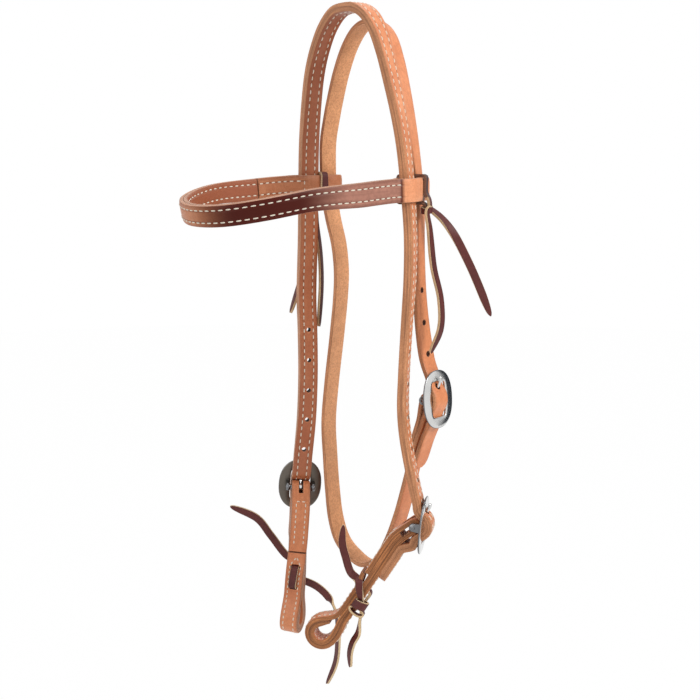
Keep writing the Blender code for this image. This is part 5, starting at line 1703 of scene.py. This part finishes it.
def dress_buckle(looks, station):
    for make, part, body in ((plate_piece, "plate", "headstall"), (bar_piece, "bar", "headstall"),
                             (tongue_piece, "tongue", station.name + "_tongue")):
        settle(make(looks, station), body, [station.name + "_buckle_" + part])


def make_camera():
    """The camera that the photograph was fitted with; gives its target and the way to it."""
    level = math.cos(CAMERA_HEIGHT)
    towards = Vector((math.sin(CAMERA_AZIMUTH) * level, -math.cos(CAMERA_AZIMUTH) * level,
                      math.sin(CAMERA_HEIGHT)))
    target = Vector(CAMERA_TARGET)
    data = bpy.data.cameras.new("photo_camera")
    data.sensor_width = CAMERA_SENSOR
    data.lens = CAMERA_LENS
    data.shift_y = CAMERA_SHIFT
    camera = add_piece("photo_camera", data)
    aim_at(camera, target + towards * CAMERA_DISTANCE, target)
    bpy.context.scene.camera = camera
    return target, towards


def aim_at(thing, place, target):
    thing.location = place
    thing.rotation_euler = (target - place).to_track_quat("-Z", "Y").to_euler()


def seen_rays(look):
    """1 where the camera sees a surface directly, in a mirror or through glass, 0 elsewhere."""
    rays = look.add("ShaderNodeLightPath").outputs
    seen = look.add("ShaderNodeMath", {0: rays["Is Camera Ray"], 1: rays["Is Glossy Ray"]},
                    operation="MAXIMUM").outputs[0]
    return look.add("ShaderNodeMath", {0: seen, 1: rays["Is Transmission Ray"]},
                    operation="MAXIMUM").outputs[0]


def make_studio(target, towards):
    """Three soft lamps and a pale world that is white where it is seen."""
    right = Vector((-towards.y, towards.x, 0)).normalized()
    for name, ahead, aside, up, size, power in LAMPS:
        data = bpy.data.lights.new(name, "AREA")
        data.shape = "DISK"
        data.size = size
        data.energy = power
        place = target + towards * ahead + right * aside + Vector((0, 0, up))
        aim_at(add_piece(name, data), place, target)
    world = bpy.data.worlds.new("studio")
    bpy.context.scene.world = world
    look = Nodes(world)
    level = look.add("ShaderNodeMapRange", {"Value": seen_rays(look), "To Min": WORLD_LEVEL,
                                            "To Max": 1.0}).outputs["Result"]
    back = look.tree.nodes["Background"]
    back.inputs["Color"].default_value = (1, 1, 1, 1)
    look.tree.links.new(level, back.inputs["Strength"])
    make_floor()
    make_card(target)


def make_card(target):
    """A dark card behind the near side, which only the polished steel mirrors."""
    look = new_look("dark_card")
    look.set({"Base Color": (0.03, 0.035, 0.045, 1), "Roughness": 0.9})
    across, rise_up = CARD_SIZE[0] / 2, CARD_SIZE[1] / 2
    corners = [(-across, 0, -rise_up), (across, 0, -rise_up), (across, 0, rise_up),
               (-across, 0, rise_up)]
    card = add_piece("dark_card", skin("dark_card", corners, [(0, 1, 2, 3)], [0], [look.owner]))
    way = Vector((math.cos(CARD_HEADING), math.sin(CARD_HEADING), -0.12))
    card.location = target + way * CARD_DISTANCE
    card.rotation_euler = (0, 0, CARD_HEADING - math.pi / 2)
    card.visible_camera = False
    card.visible_diffuse = False
    card.visible_shadow = False
    card.visible_transmission = False


def make_floor():
    """A pale floor that is white where it is seen and keeps a hundredth of its shadow."""
    look = new_look("floor_paper")
    look.set({"Base Color": (0.93, 0.93, 0.93, 1), "Roughness": 0.9, "Specular IOR Level": 0.1})
    glow = look.add("ShaderNodeEmission", {"Color": (1, 1, 1, 1), "Strength": 1.0})
    share = look.add("ShaderNodeMath", {0: seen_rays(look), 1: FLOOR_GLOW}, operation="MULTIPLY")
    both = look.add("ShaderNodeMixShader", {0: share.outputs[0], 1: look.shader.outputs[0],
                                            2: glow.outputs[0]})
    output = look.tree.nodes["Material Output"]
    look.tree.links.new(both.outputs[0], output.inputs["Surface"])
    work = bmesh.new()
    bmesh.ops.create_circle(work, cap_ends=True, segments=96, radius=FLOOR_RADIUS)
    floor = made("floor", work, [look.owner])
    floor.location = (0, 0, FLOOR_LEVEL)


def main():
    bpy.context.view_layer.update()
    bpy.context.scene.view_settings.view_transform = "Standard"
    make_studio(*make_camera())
    looks = make_looks()
    off, near, throat = stations()
    plan = Browband()
    dress_crown(looks, off, near)
    dress_throatlatch(looks, throat)
    dress_browband(looks, plan)
    off_plan = BitEnd(off, OFF_BIT_LENGTH, OFF_LOOP_OPENING, 0.0)
    near_plan = BitEnd(near, NEAR_BIT_LENGTH, NEAR_LOOP_OPENING, NEAR_RETURN_LIFT)
    dress_bit_end(looks, off_plan, 2)
    dress_bit_end(looks, near_plan, 1)
    dress_ties(looks, plan, off_plan, near_plan)
    for station in (off, near, throat):
        dress_buckle(looks, station)


main()
